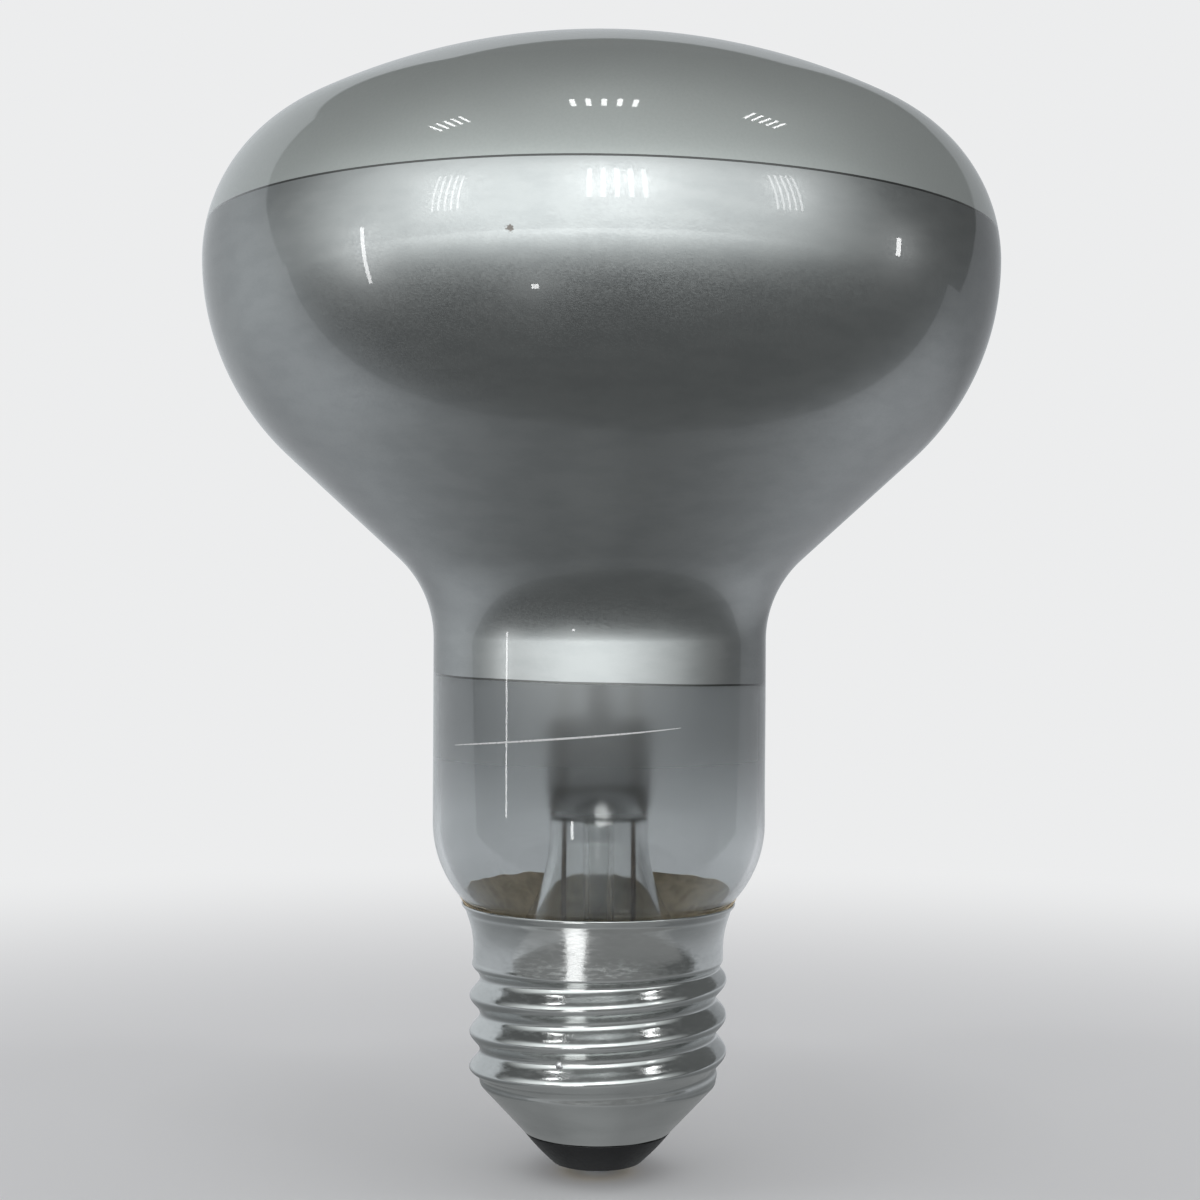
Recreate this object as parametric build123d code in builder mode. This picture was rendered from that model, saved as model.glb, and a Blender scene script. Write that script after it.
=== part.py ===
from build123d import *
import os
from math import acos, atan2, cos, degrees, pi, radians, sin, sqrt, tan

# Reflector bulb with a 27 mm screw cap, in millimetres and at real size.
# Z is the bulb's axis, and the photograph looks along +Y. The origin is the lowest point,
# the tip of the solder on the centre contact, and the domed face points up.

# Bulb: one blown glass wall, whose outline is a chain of tangent arcs
overall_length = 114.0  # solder tip to the crown of the face
bulb_radius = 40.0
face_radius = 66.0
shoulder_radius = 16.4
bowl_radius = 26.0
bowl_angle = 47.5  # slope of the bowl's cone, in degrees from the axis
neck_fillet = 11.0
neck_radius = 16.85
heel_radius = 11.5  # the neck's lower end, where it turns in to the cap
collar_bend = 4.0
collar_length = 1.6
collar_gap = 0.7  # glass collar to the thread's inside
glass_wall = 0.7

# Mirror film on the inside of the bowl and the upper neck
film_thickness = 0.1
film_above_equator = 3.9
film_below_fillet = 3.8

# Screw shell: thin rolled sheet
cap_height = 27.4  # solder tip to the shell's rim
sheet = 0.3
rim_radius = 13.85
rim_gap = 0.15  # rim to the glass
skirt_radius = 12.7
skirt_straight = 1.0
rim_flare_height = 4.6
thread_crest_radius = 13.05
thread_depth = 1.05
thread_pitch = 3.629
thread_phase_z = 12.5  # height of a crest on the +X side
thread_fade = 1.3  # height over which the thread fades out at each end
cone_bend = 0.8
cone_angle = 43.0  # slope of the shell's foot, in degrees from the axis
cone_height = 5.2
cone_top_radius = 12.0
thread_sections = 36  # circles that the thread is drawn through

# Insulator, centre contact and its solder
insulator_height = 3.2  # bottom face to the shell's lower edge
insulator_tip_radius = 4.75
insulator_edge = 0.35
insulator_rise = 3.4  # dish inside the shell, above the shell's lower edge
lead_hole_radius = 1.2
fit_gap = 0.05  # insulator and cement to the rolled shell
contact_radius = 4.0
contact_thickness = 0.5
contact_proud = 0.1
eyelet_radius = 0.9
solder_radius = 2.3
solder_height = 1.0

# Basing cement between the glass and the shell
cement_below_rim = 0.5

# Stem: flared glass tube with a flat press on top
stem_radius = 5.0
stem_wall = 0.9
stem_flare_height = 12.7
stem_straight = 1.6
lip_height = 1.2
press_width = 10.4
press_depth = 3.8
press_taper = 3.4
press_height = 6.4
press_edge = 0.6
blow_hole_radius = 0.8
blow_hole_rise = 1.3

# Exhaust tube inside the stem, closed at its lower end
exhaust_radius = 1.6
exhaust_bore = 1.0
exhaust_length = 23.5

# Lead wires
outer_lead_radius = 0.25
seal_wire_radius = 0.3
inner_lead_radius = 0.4
lead_wall_gap = 0.3  # outer lead to the stem's bore
lead_bend = 3.0
centre_lead_turn = 11.0  # above the shell's lower edge, where the lead turns to the axis
centre_lead_drop = 5.0  # height over which it reaches the axis
side_lead_turn = 22.0  # below the stem's press, where the lead turns to the shell

# Filament, its support rod and its support wires
filament_below_equator = 20.0
filament_ring = 8.0  # radius of the half ring that the filament lies on
coil_radius = 0.4
lead_rise = 5.0  # straight part of an inner lead above the press
lead_riser = 6.0  # upright part of an inner lead below the filament
lead_back = 3.0  # the hook at its end
hook_bend = 1.2
rod_radius = 1.1
button_radius = 2.0
button_height = 2.6
button_below_filament = 6.0
support_radius = 0.15
support_seat = 1.2  # depth of a support wire in the button
support_reach = 2.6  # straight part of a support wire outside the button
support_bend = 1.0
eye_gap = 0.1  # support eye to the coil
support_angles = {"left": 225, "front": 270, "right": 315}  # degrees about the axis

# Places that follow from the sizes above
thread_middle = thread_crest_radius - thread_depth / 2
collar_radius = thread_crest_radius - thread_depth - sheet - collar_gap
insulator_z = solder_height + contact_proud
cone_foot_z = insulator_z + insulator_height
thread_bottom_z = cone_foot_z + cone_height
flare_z = cap_height - rim_flare_height
thread_top_z = flare_z - skirt_straight

slope = radians(cone_angle)
cone_bend_r = cone_top_radius - cone_bend * (1 - cos(slope))
cone_bend_z = thread_bottom_z - cone_bend * sin(slope)
cone_foot_radius = cone_bend_r - (cone_bend_z - cone_foot_z) * tan(slope)

shoulder_angle = degrees(acos((bulb_radius - shoulder_radius) / (face_radius - shoulder_radius)))
crown_rise = face_radius - (face_radius - shoulder_radius) * sin(radians(shoulder_angle))
equator_z = overall_length - crown_rise
bowl_turn = radians(bowl_angle)
bowl_drop = (bulb_radius - neck_radius) - (bowl_radius + neck_fillet) * (1 - cos(bowl_turn))
cone_length = bowl_drop / sin(bowl_turn)
neck_top_z = equator_z - (bowl_radius + neck_fillet) * sin(bowl_turn) - cone_length * cos(bowl_turn)
rim_drop = neck_radius - (rim_radius - sheet - rim_gap)
neck_foot_z = cap_height + sqrt(2 * heel_radius * rim_drop - rim_drop**2)
heel_angle = degrees(acos(1 - (neck_radius - collar_radius) / (heel_radius + collar_bend)))
seal_z = neck_foot_z - (heel_radius + collar_bend) * sin(radians(heel_angle)) - collar_length

stem_bore = stem_radius - stem_wall
stem_tube_z = seal_z + stem_flare_height
press_z = stem_tube_z + stem_straight
press_flat_z = press_z + press_taper
press_top_z = press_flat_z + press_height
lead_x = stem_bore - lead_wall_gap - outer_lead_radius
filament_z = equator_z - filament_below_equator
button_z = filament_z - button_below_filament
eye_radius = coil_radius + eye_gap + support_radius


def axial_plane(angle):
    """The half plane through the axis at an angle about it: x is the radius and y the height."""
    turn = radians(angle)
    return Plane(origin=(0, 0, 0), x_dir=(cos(turn), sin(turn), 0), z_dir=(sin(turn), -cos(turn), 0))


def bulb_outline(inset):
    """Draws the bulb's outline from crown to collar, parallel to the outer glass and inside it by the inset."""
    equator = (bulb_radius - inset, equator_z)
    shoulder = JernArc(equator, (0, 1), shoulder_radius - inset, shoulder_angle)
    JernArc(shoulder @ 1, shoulder % 1, face_radius - inset, 90 - shoulder_angle)
    bowl = JernArc(equator, (0, -1), bowl_radius - inset, -bowl_angle)
    cone = Line(bowl @ 1, bowl @ 1 + (bowl % 1) * cone_length)
    fillet = JernArc(cone @ 1, cone % 1, neck_fillet + inset, bowl_angle)
    neck = Line(fillet @ 1, (neck_radius - inset, neck_foot_z))
    heel = JernArc(neck @ 1, (0, -1), heel_radius - inset, -heel_angle)
    bend = JernArc(heel @ 1, heel % 1, collar_bend + inset, heel_angle)
    Line(bend @ 1, (collar_radius - inset, seal_z))


def bulb_wall(outside, inside):
    """The section of the wall between two outlines of the bulb."""
    with BuildSketch(Plane.XZ) as wall:
        with BuildLine():
            bulb_outline(outside)
            bulb_outline(inside)
            Line((0, overall_length - outside), (0, overall_length - inside))
            Line((collar_radius - outside, seal_z), (collar_radius - inside, seal_z))
        make_face()
    return wall.sketch


def fade_in(height):
    """A smooth step from 0 to 1 over the height in which the thread fades."""
    share = min(max(height / thread_fade, 0), 1)
    return share * share * (3 - 2 * share)


def thread_core(depth):
    """Lofts the threaded wall's side at a depth: circles whose centre circles the axis once in each pitch."""
    with BuildPart() as core:
        for index in range(thread_sections + 1):
            height = index / thread_sections * (thread_top_z - thread_bottom_z)
            z = thread_bottom_z + height
            cut = fade_in(height) * fade_in(thread_top_z - z)
            plain_radius = skirt_radius if z > (thread_bottom_z + thread_top_z) / 2 else cone_top_radius
            crest_angle = 2 * pi * (z - thread_phase_z) / thread_pitch
            offset = cut * thread_depth / 2
            with BuildSketch(Plane.XY.offset(z)):
                with Locations((offset * cos(crest_angle), offset * sin(crest_angle))):
                    Circle(cut * thread_middle + (1 - cut) * plain_radius - depth)
        loft()
    return core.part


def skirt_side(depth):
    """Draws one side of the shell's skirt, from the thread up to the flared rim."""
    Line((skirt_radius - depth, thread_top_z), (skirt_radius - depth, flare_z))
    TangentArc((skirt_radius - depth, flare_z), (rim_radius - depth, cap_height), tangent=(0, 1))


def foot_side(depth):
    """Draws one side of the shell's conical foot, from the thread down to its lower edge."""
    start = (cone_top_radius - depth, thread_bottom_z)
    bend = JernArc(start, (0, -1), cone_bend - depth, -cone_angle)
    Line(bend @ 1, (cone_foot_radius - depth * cos(slope), cone_foot_z + depth * sin(slope)))


def round_wire(points, bend, radius):
    """A round wire along straight runs joined by bends."""
    with BuildPart() as wire:
        with BuildLine() as path:
            FilletPolyline(*points, radius=bend)
        with BuildSketch(Plane(path.line @ 0, z_dir=path.line % 0)):
            Circle(radius)
        sweep(path=path.line)
    return wire.part


def keep(piece, name):
    """Names a finished piece and writes it."""
    piece.part.label = name
    export_step(piece.part, f"parts/{name}.step")


os.makedirs("parts", exist_ok=True)

# Blown glass bulb: domed face, bowl, neck, and the collar that goes into the cap
with BuildPart() as glass_bulb:
    revolve(bulb_wall(0, glass_wall), axis=Axis.Z)
keep(glass_bulb, "glass_bulb")

# Mirror film: lies on the inside of the glass, from above the widest circle to the upper neck
with BuildPart() as reflector_film:
    revolve(bulb_wall(glass_wall, glass_wall + film_thickness), axis=Axis.Z)
    split(bisect_by=Plane.XY.offset(equator_z + film_above_equator), keep=Keep.BOTTOM)
    split(bisect_by=Plane.XY.offset(neck_top_z - film_below_fillet), keep=Keep.TOP)
keep(reflector_film, "reflector_film")

# Screw shell: a rolled round thread in thin sheet, with a flared skirt above it and a conical foot below
with BuildPart() as screw_shell:
    add(thread_core(0))
    add(thread_core(sheet), mode=Mode.SUBTRACT)
    with BuildSketch(Plane.XZ):
        with BuildLine():
            skirt_side(0)
            skirt_side(sheet)
            Line((rim_radius, cap_height), (rim_radius - sheet, cap_height))
            Line((skirt_radius, thread_top_z), (skirt_radius - sheet, thread_top_z))
        make_face()
        with BuildLine():
            foot_side(0)
            foot_side(sheet)
            Line((cone_top_radius, thread_bottom_z), (cone_top_radius - sheet, thread_bottom_z))
            Line(
                (cone_foot_radius, cone_foot_z),
                (cone_foot_radius - sheet * cos(slope), cone_foot_z + sheet * sin(slope)),
            )
        make_face()
    revolve(axis=Axis.Z)
keep(screw_shell, "screw_shell")

# Insulator: black glass cast into the shell's foot, with a pocket for the contact and a hole for its lead
with BuildPart() as cap_insulator:
    inner_depth = sheet + fit_gap
    seat_r = cone_foot_radius - inner_depth * cos(slope)
    seat_z = cone_foot_z + inner_depth * sin(slope)
    dish_r = seat_r + insulator_rise * tan(slope)
    pocket_z = insulator_z - contact_proud + contact_thickness
    with BuildSketch(Plane.XZ):
        with BuildLine():
            Polyline(
                (lead_hole_radius, pocket_z),
                (contact_radius, pocket_z),
                (contact_radius, insulator_z),
                (insulator_tip_radius, insulator_z),
                (cone_foot_radius, cone_foot_z - fit_gap),
                (seat_r, cone_foot_z - fit_gap),
                (seat_r, seat_z),
                (dish_r, seat_z + insulator_rise),
                (lead_hole_radius, seat_z),
                close=True,
            )
        make_face()
    revolve(axis=Axis.Z)
    bottom_edges = edges().filter_by(GeomType.CIRCLE).group_by(Axis.Z)[0]
    fillet(bottom_edges.sort_by(SortBy.RADIUS)[-1], insulator_edge)
keep(cap_insulator, "cap_insulator")

# Centre contact: brass plate with an eyelet for the lead
with BuildPart() as centre_contact:
    with BuildSketch(Plane.XY.offset(insulator_z - contact_proud)):
        Circle(contact_radius)
        Circle(eyelet_radius, mode=Mode.SUBTRACT)
    extrude(amount=contact_thickness)
keep(centre_contact, "centre_contact")

# Solder: a dome under the contact with a plug in its eyelet
with BuildPart() as contact_solder:
    plug_z = solder_height + contact_thickness
    with BuildSketch(Plane.XZ):
        with BuildLine():
            TangentArc((0, 0), (solder_radius, solder_height), tangent=(1, 0))
            Polyline(
                (solder_radius, solder_height),
                (eyelet_radius, solder_height),
                (eyelet_radius, plug_z),
                (0, plug_z),
                (0, 0),
            )
        make_face()
    revolve(axis=Axis.Z)
keep(contact_solder, "contact_solder")

# Stem: flared tube sealed to the glass collar, with a flat press that holds the wires
with BuildPart() as glass_stem:
    with BuildSketch(Plane.XZ):
        with BuildLine():
            Line((stem_radius, press_z), (stem_radius, stem_tube_z))
            TangentArc((stem_radius, stem_tube_z), (collar_radius - glass_wall, seal_z), tangent=(0, -1))
            Line((collar_radius - glass_wall, seal_z), (collar_radius, seal_z))
            Line((collar_radius, seal_z), (collar_radius, seal_z - lip_height))
            TangentArc((stem_bore, stem_tube_z), (collar_radius, seal_z - lip_height), tangent=(0, -1))
            Line((stem_bore, stem_tube_z), (stem_bore, press_z))
            Line((stem_bore, press_z), (stem_radius, press_z))
        make_face()
    revolve(axis=Axis.Z)
    with BuildSketch(Plane.XY.offset(press_z)):
        Circle(stem_radius)
    with BuildSketch(Plane.XY.offset(press_flat_z)):
        SlotOverall(press_width, press_depth)
    loft()
    with BuildSketch(Plane.XY.offset(press_flat_z)):
        SlotOverall(press_width, press_depth)
    extrude(amount=press_height)
    fillet(faces().sort_by(Axis.Z)[-1].edges(), press_edge)
    with BuildSketch(Plane.XY.offset(press_z)):
        Circle(exhaust_bore)
    extrude(amount=blow_hole_rise, mode=Mode.SUBTRACT)
    with BuildSketch(Plane.XZ):
        with Locations((0, press_z + blow_hole_rise)):
            Circle(blow_hole_radius)
    extrude(amount=stem_radius + stem_wall, mode=Mode.SUBTRACT)
    with BuildSketch(Plane.XY.offset(press_z)):
        with Locations((-lead_x, 0), (lead_x, 0)):
            Circle(seal_wire_radius)
    extrude(amount=press_top_z - press_z, mode=Mode.SUBTRACT)
keep(glass_stem, "glass_stem")

# Exhaust tube: hangs from the press inside the stem, its lower end melted shut
with BuildPart() as exhaust_tube:
    tip_z = press_z - exhaust_length
    round_z = tip_z + exhaust_radius
    bore_z = round_z + exhaust_bore
    with BuildSketch(Plane.XZ):
        with BuildLine():
            TangentArc((exhaust_radius, round_z), (0, tip_z), tangent=(0, -1))
            Line((0, tip_z), (0, round_z))
            TangentArc((exhaust_bore, bore_z), (0, round_z), tangent=(0, -1))
            Polyline(
                (exhaust_bore, bore_z),
                (exhaust_bore, press_z),
                (exhaust_radius, press_z),
                (exhaust_radius, round_z),
            )
        make_face()
    revolve(axis=Axis.Z)
keep(exhaust_tube, "exhaust_tube")

# Wires sealed in the press, and the inner leads that rise from them to the filament's ends
for side, sign in {"left": -1, "right": 1}.items():
    with BuildPart() as seal_wire:
        with BuildSketch(Plane.XY.offset(press_z)):
            with Locations((sign * lead_x, 0)):
                Circle(seal_wire_radius)
        extrude(amount=press_top_z - press_z)
    keep(seal_wire, f"seal_wire_{side}")

    lead_points = [
        (sign * lead_x, 0, press_top_z),
        (sign * lead_x, 0, press_top_z + lead_rise),
        (sign * filament_ring, lead_back, filament_z - lead_riser),
        (sign * filament_ring, lead_back, filament_z),
        (sign * filament_ring, 0, filament_z),
    ]
    with BuildPart() as inner_lead:
        add(round_wire(lead_points, [lead_bend, lead_bend, hook_bend], inner_lead_radius))
    keep(inner_lead, f"inner_lead_{side}")

# Lead to the centre contact: straight down the stem, then over to the axis and onto the solder
centre_turn_z = cone_foot_z + centre_lead_turn
centre_lead_points = [
    (lead_x, 0, press_z),
    (lead_x, 0, centre_turn_z),
    (0, 0, centre_turn_z - centre_lead_drop),
    (0, 0, solder_height + contact_thickness),
]
with BuildPart() as outer_lead_centre:
    add(round_wire(centre_lead_points, lead_bend, outer_lead_radius))
keep(outer_lead_centre, "outer_lead_centre")

# Lead to the shell: down the stem, then out to a weld in a groove of the thread
side_turn_z = press_z - side_lead_turn
weld_angle = degrees(atan2(-sqrt(thread_middle**2 - lead_x**2), -lead_x))
groove_turn = (side_turn_z - thread_phase_z) / thread_pitch - weld_angle / 360 - 1
weld_z = thread_phase_z + thread_pitch * (weld_angle / 360 + round(groove_turn) + 0.5)
weld_radius = thread_crest_radius - thread_depth - sheet / 2
side_lead_points = [
    (-lead_x, 0, press_z),
    (-lead_x, 0, side_turn_z),
    (-lead_x, -sqrt(weld_radius**2 - lead_x**2), weld_z),
]
with BuildPart() as outer_lead_side:
    add(round_wire(side_lead_points, lead_bend, outer_lead_radius))
    add(screw_shell.part, mode=Mode.SUBTRACT)
keep(outer_lead_side, "outer_lead_side")

# Filament: a coil, as its outer round form, along half a ring between the inner leads
with BuildPart() as filament:
    with BuildLine() as coil_line:
        CenterArc((0, 0, filament_z), filament_ring, 180, 180)
    with BuildSketch(Plane(coil_line.line @ 0, z_dir=coil_line.line % 0)):
        Circle(coil_radius)
    sweep(path=coil_line.line)
keep(filament, "filament")

# Support wires: each seated in the button, with an eye around the coil
support_parts = []
for side, angle in support_angles.items():
    plane = axial_plane(angle)
    support_points = [
        plane.from_local_coords((button_radius - support_seat, button_z, 0)),
        plane.from_local_coords((button_radius + support_reach, button_z, 0)),
        plane.from_local_coords((filament_ring - eye_radius, filament_z, 0)),
    ]
    with BuildPart() as support_wire:
        add(round_wire(support_points, support_bend, support_radius))
        with Locations(plane.location * Location((filament_ring, filament_z, 0))):
            Torus(eye_radius, support_radius)
    keep(support_wire, f"support_wire_{side}")
    support_parts.append(support_wire.part)

# Support rod: glass rod on the press with a button at its end that holds the support wires
with BuildPart() as support_rod:
    with BuildSketch(Plane.XZ):
        with BuildLine():
            Polyline(
                (0, button_z + button_height / 2),
                (0, press_top_z),
                (rod_radius, press_top_z),
                (rod_radius, button_z - button_height / 2),
            )
            ThreePointArc(
                (rod_radius, button_z - button_height / 2),
                (button_radius, button_z),
                (rod_radius, button_z + button_height / 2),
            )
            Line((rod_radius, button_z + button_height / 2), (0, button_z + button_height / 2))
        make_face()
    revolve(axis=Axis.Z)
    for support in support_parts:
        add(support, mode=Mode.SUBTRACT)
keep(support_rod, "support_rod")

# Basing cement: fills the space between the glass and the shell's skirt, just below the rim
with BuildPart() as basing_cement:
    cement_radius = skirt_radius - sheet - fit_gap
    with BuildSketch(Plane.XZ):
        with BuildLine():
            cement_rim = (rim_radius - sheet - fit_gap, cap_height)
            TangentArc((cement_radius, flare_z), cement_rim, tangent=(0, 1))
            Polyline(
                cement_rim,
                (collar_radius, cap_height),
                (collar_radius, thread_top_z),
                (cement_radius, thread_top_z),
                (cement_radius, flare_z),
            )
        make_face()
        with BuildLine():
            bulb_outline(0)
            Polyline((collar_radius, seal_z), (0, seal_z), (0, overall_length))
        make_face(mode=Mode.SUBTRACT)
    revolve(axis=Axis.Z)
    split(bisect_by=Plane.XY.offset(cap_height - cement_below_rim), keep=Keep.BOTTOM)
keep(basing_cement, "basing_cement")
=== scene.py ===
"""Looks of the reflector bulb: glass, mirror film, screw shell, foot and mount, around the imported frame."""

from __future__ import annotations

import logging
from dataclasses import dataclass
from enum import Enum
from functools import cache
from math import acos, asin, atan2, cos, degrees, pi, radians, sin, sqrt, tan

import bpy
import numpy as np
from mathutils import Matrix, Vector

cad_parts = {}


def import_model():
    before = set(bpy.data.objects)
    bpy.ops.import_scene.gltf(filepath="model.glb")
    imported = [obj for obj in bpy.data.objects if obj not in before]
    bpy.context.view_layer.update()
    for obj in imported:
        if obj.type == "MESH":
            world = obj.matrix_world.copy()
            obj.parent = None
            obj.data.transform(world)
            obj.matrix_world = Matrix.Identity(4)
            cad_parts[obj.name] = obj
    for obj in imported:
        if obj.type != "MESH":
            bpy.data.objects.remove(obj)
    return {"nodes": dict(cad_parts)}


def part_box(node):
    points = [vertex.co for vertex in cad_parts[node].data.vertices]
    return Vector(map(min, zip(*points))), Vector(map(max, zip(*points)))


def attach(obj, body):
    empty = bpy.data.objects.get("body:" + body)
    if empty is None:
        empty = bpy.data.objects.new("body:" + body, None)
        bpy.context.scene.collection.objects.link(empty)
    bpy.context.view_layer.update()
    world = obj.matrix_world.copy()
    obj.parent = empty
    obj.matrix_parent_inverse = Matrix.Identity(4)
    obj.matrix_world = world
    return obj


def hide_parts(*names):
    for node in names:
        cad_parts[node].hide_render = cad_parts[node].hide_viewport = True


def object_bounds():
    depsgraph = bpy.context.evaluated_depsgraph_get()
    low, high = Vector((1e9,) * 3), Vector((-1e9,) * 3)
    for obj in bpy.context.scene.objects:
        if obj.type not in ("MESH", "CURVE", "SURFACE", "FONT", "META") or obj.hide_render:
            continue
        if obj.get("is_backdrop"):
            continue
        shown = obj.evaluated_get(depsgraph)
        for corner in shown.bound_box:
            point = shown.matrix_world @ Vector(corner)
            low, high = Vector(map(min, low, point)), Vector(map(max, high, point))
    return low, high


LOG = logging.getLogger("reflector_bulb")
MM = 0.001
BODY = "root"

Colour = tuple[float, float, float]
Point = tuple[float, float]
Span = tuple[float, float, float, float]
Socket = bpy.types.NodeSocket


class Ends(Enum):
    """How a grid of rings closes at its first and last row."""

    LOOP = "the last row joins the first"
    POLES = "each end row shrinks to one point"


class Pattern(Enum):
    """Which way a finish's grain runs, as stretches along X, Y and Z."""

    EVEN = (1.0, 1.0, 1.0)
    DRAWN = (6.0, 6.0, 1.0)
    WIPED = (1.0, 1.0, 3.0)


@dataclass(frozen=True)
class Waves:
    """Unevenness of a surface: sine waves round the axis and along it, drawn by a seed."""

    turns: int
    per_mm: float
    seed: int
    count: int = 8

    def over(self, angle: np.ndarray, height: np.ndarray) -> np.ndarray:
        """Sum of the waves, each sin(n a + p z + q).

        Args:
            angle: Angles about the axis.
            height: Heights in millimetres.

        Returns:
            Values between about -1 and 1.
        """
        draw = np.random.default_rng(self.seed)
        total = np.zeros_like(angle)
        for _ in range(self.count):
            around = draw.integers(1, self.turns + 1) * angle
            along = draw.uniform(-self.per_mm, self.per_mm) * height
            total += np.sin(around + along + draw.uniform(0, 2 * pi))
        return total / sqrt(2 * self.count)


def smooth(share: np.ndarray) -> np.ndarray:
    """Smooth step s^2 (3 - 2 s), with s kept between 0 and 1."""
    kept = np.clip(share, 0, 1)
    return kept * kept * (3 - 2 * kept)


def hump(height: np.ndarray, middle: float, spread: float) -> np.ndarray:
    """Bell curve exp(-((z - m) / s)^2)."""
    return np.exp(-(((height - middle) / spread) ** 2))


def bend_radius(out: float, rise: float) -> float:
    """Radius of an arc that leaves a straight wall and goes out by o over a rise r: (o^2 + r^2) / 2 o."""
    return (out * out + rise * rise) / (2 * out)


def arc(centre: Point, radius: float, start: float, end: float, count: int) -> np.ndarray:
    """Points on an arc in the plane of radius and height: centre + radius (cos, sin).

    Args:
        centre: Radius and height of the arc's centre.
        radius: The arc's radius.
        start: First angle in degrees, from the outward direction.
        end: Last angle in degrees.
        count: Number of points.

    Returns:
        Points as rows of radius and height.
    """
    angle = np.radians(np.linspace(start, end, count))
    return np.array(centre) + radius * np.stack([np.cos(angle), np.sin(angle)], axis=-1)


def chain(*stretches: np.ndarray) -> np.ndarray:
    """Joins stretches of an outline, each of which starts where the one before it ends."""
    return np.concatenate([stretches[0]] + [stretch[1:] for stretch in stretches[1:]])


def runs(counts: tuple[int, ...], *corners: Point) -> np.ndarray:
    """Evenly spaced points on straight runs from corner to corner, each corner once."""
    ends = np.array(corners, float)
    return chain(*(np.linspace(start, end, count) for start, end, count in zip(ends, ends[1:], counts)))


def turn(outline: np.ndarray, columns: int) -> tuple[np.ndarray, np.ndarray, np.ndarray]:
    """Radius, angle and height, rows by columns, of an outline turned about the axis."""
    angle, radius = np.meshgrid(np.linspace(0, 2 * pi, columns, endpoint=False), outline[:, 0])
    return radius, angle, np.broadcast_to(outline[:, 1:], radius.shape)


def place(radius: np.ndarray, angle: np.ndarray, height: np.ndarray) -> np.ndarray:
    """Points (r cos a, r sin a, z) on the same grid."""
    return np.stack([radius * np.cos(angle), radius * np.sin(angle), height], axis=-1)


def tube_grid(path: np.ndarray, radius: np.ndarray, columns: int, side: np.ndarray) -> np.ndarray:
    """Rings round a path: c + r (cos a n - sin a b), with n across the tangent and a side direction.

    Args:
        path: Points of the centre line, in millimetres.
        radius: Radius at each point.
        columns: Points round the tube.
        side: A direction that the path never runs along, or one for each point.

    Returns:
        Rows by columns by 3, with the first and last rows drawn together to a point.
    """
    tangent = np.gradient(path, axis=0)
    tangent /= np.linalg.norm(tangent, axis=1, keepdims=True)
    across = np.cross(tangent, side)
    across /= np.linalg.norm(across, axis=1, keepdims=True)
    other = np.cross(tangent, across)
    angle = np.linspace(0, 2 * pi, columns, endpoint=False)[None, :, None]
    around = np.cos(angle) * across[:, None] - np.sin(angle) * other[:, None]
    rings = path[:, None] + radius[:, None, None] * around
    first, last = (np.repeat(path[end, None, None], columns, 1) for end in (0, -1))
    return np.concatenate([first, rings, last])


@dataclass(frozen=True)
class Dome:
    """Small lumpy dome of melted metal or glass, in millimetres."""

    radius: float
    rise: float
    sink: float = 0.6
    lump: float = 0.18
    lumps: Waves = Waves(4, 2.0, 61)

    def grid(self, centre: np.ndarray, outward: np.ndarray) -> np.ndarray:
        """Rings at radius r sin(p) and height h cos(p), where p goes from the top to the underside.

        Args:
            centre: Middle of its foot.
            outward: Direction that it rises in.

        Returns:
            Rows by columns by 3, from its top to the middle of its underside.
        """
        across = np.cross([0.0, 0.0, 1.0], outward)
        upward = np.cross(outward, across)
        polar = np.append(np.linspace(0, pi / 2, 10), pi)
        angle, polar = np.meshgrid(np.linspace(0, 2 * pi, 24, endpoint=False), polar)
        reach = self.radius * np.sin(polar) * (1 + self.lump * self.lumps.over(angle, polar))
        reach[[0, -1]] = 0
        lift = self.rise * np.maximum(np.cos(polar), -self.sink)
        flat = (reach * np.cos(angle))[..., None] * across + (reach * np.sin(angle))[..., None] * upward
        return centre + flat + lift[..., None] * outward


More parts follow.
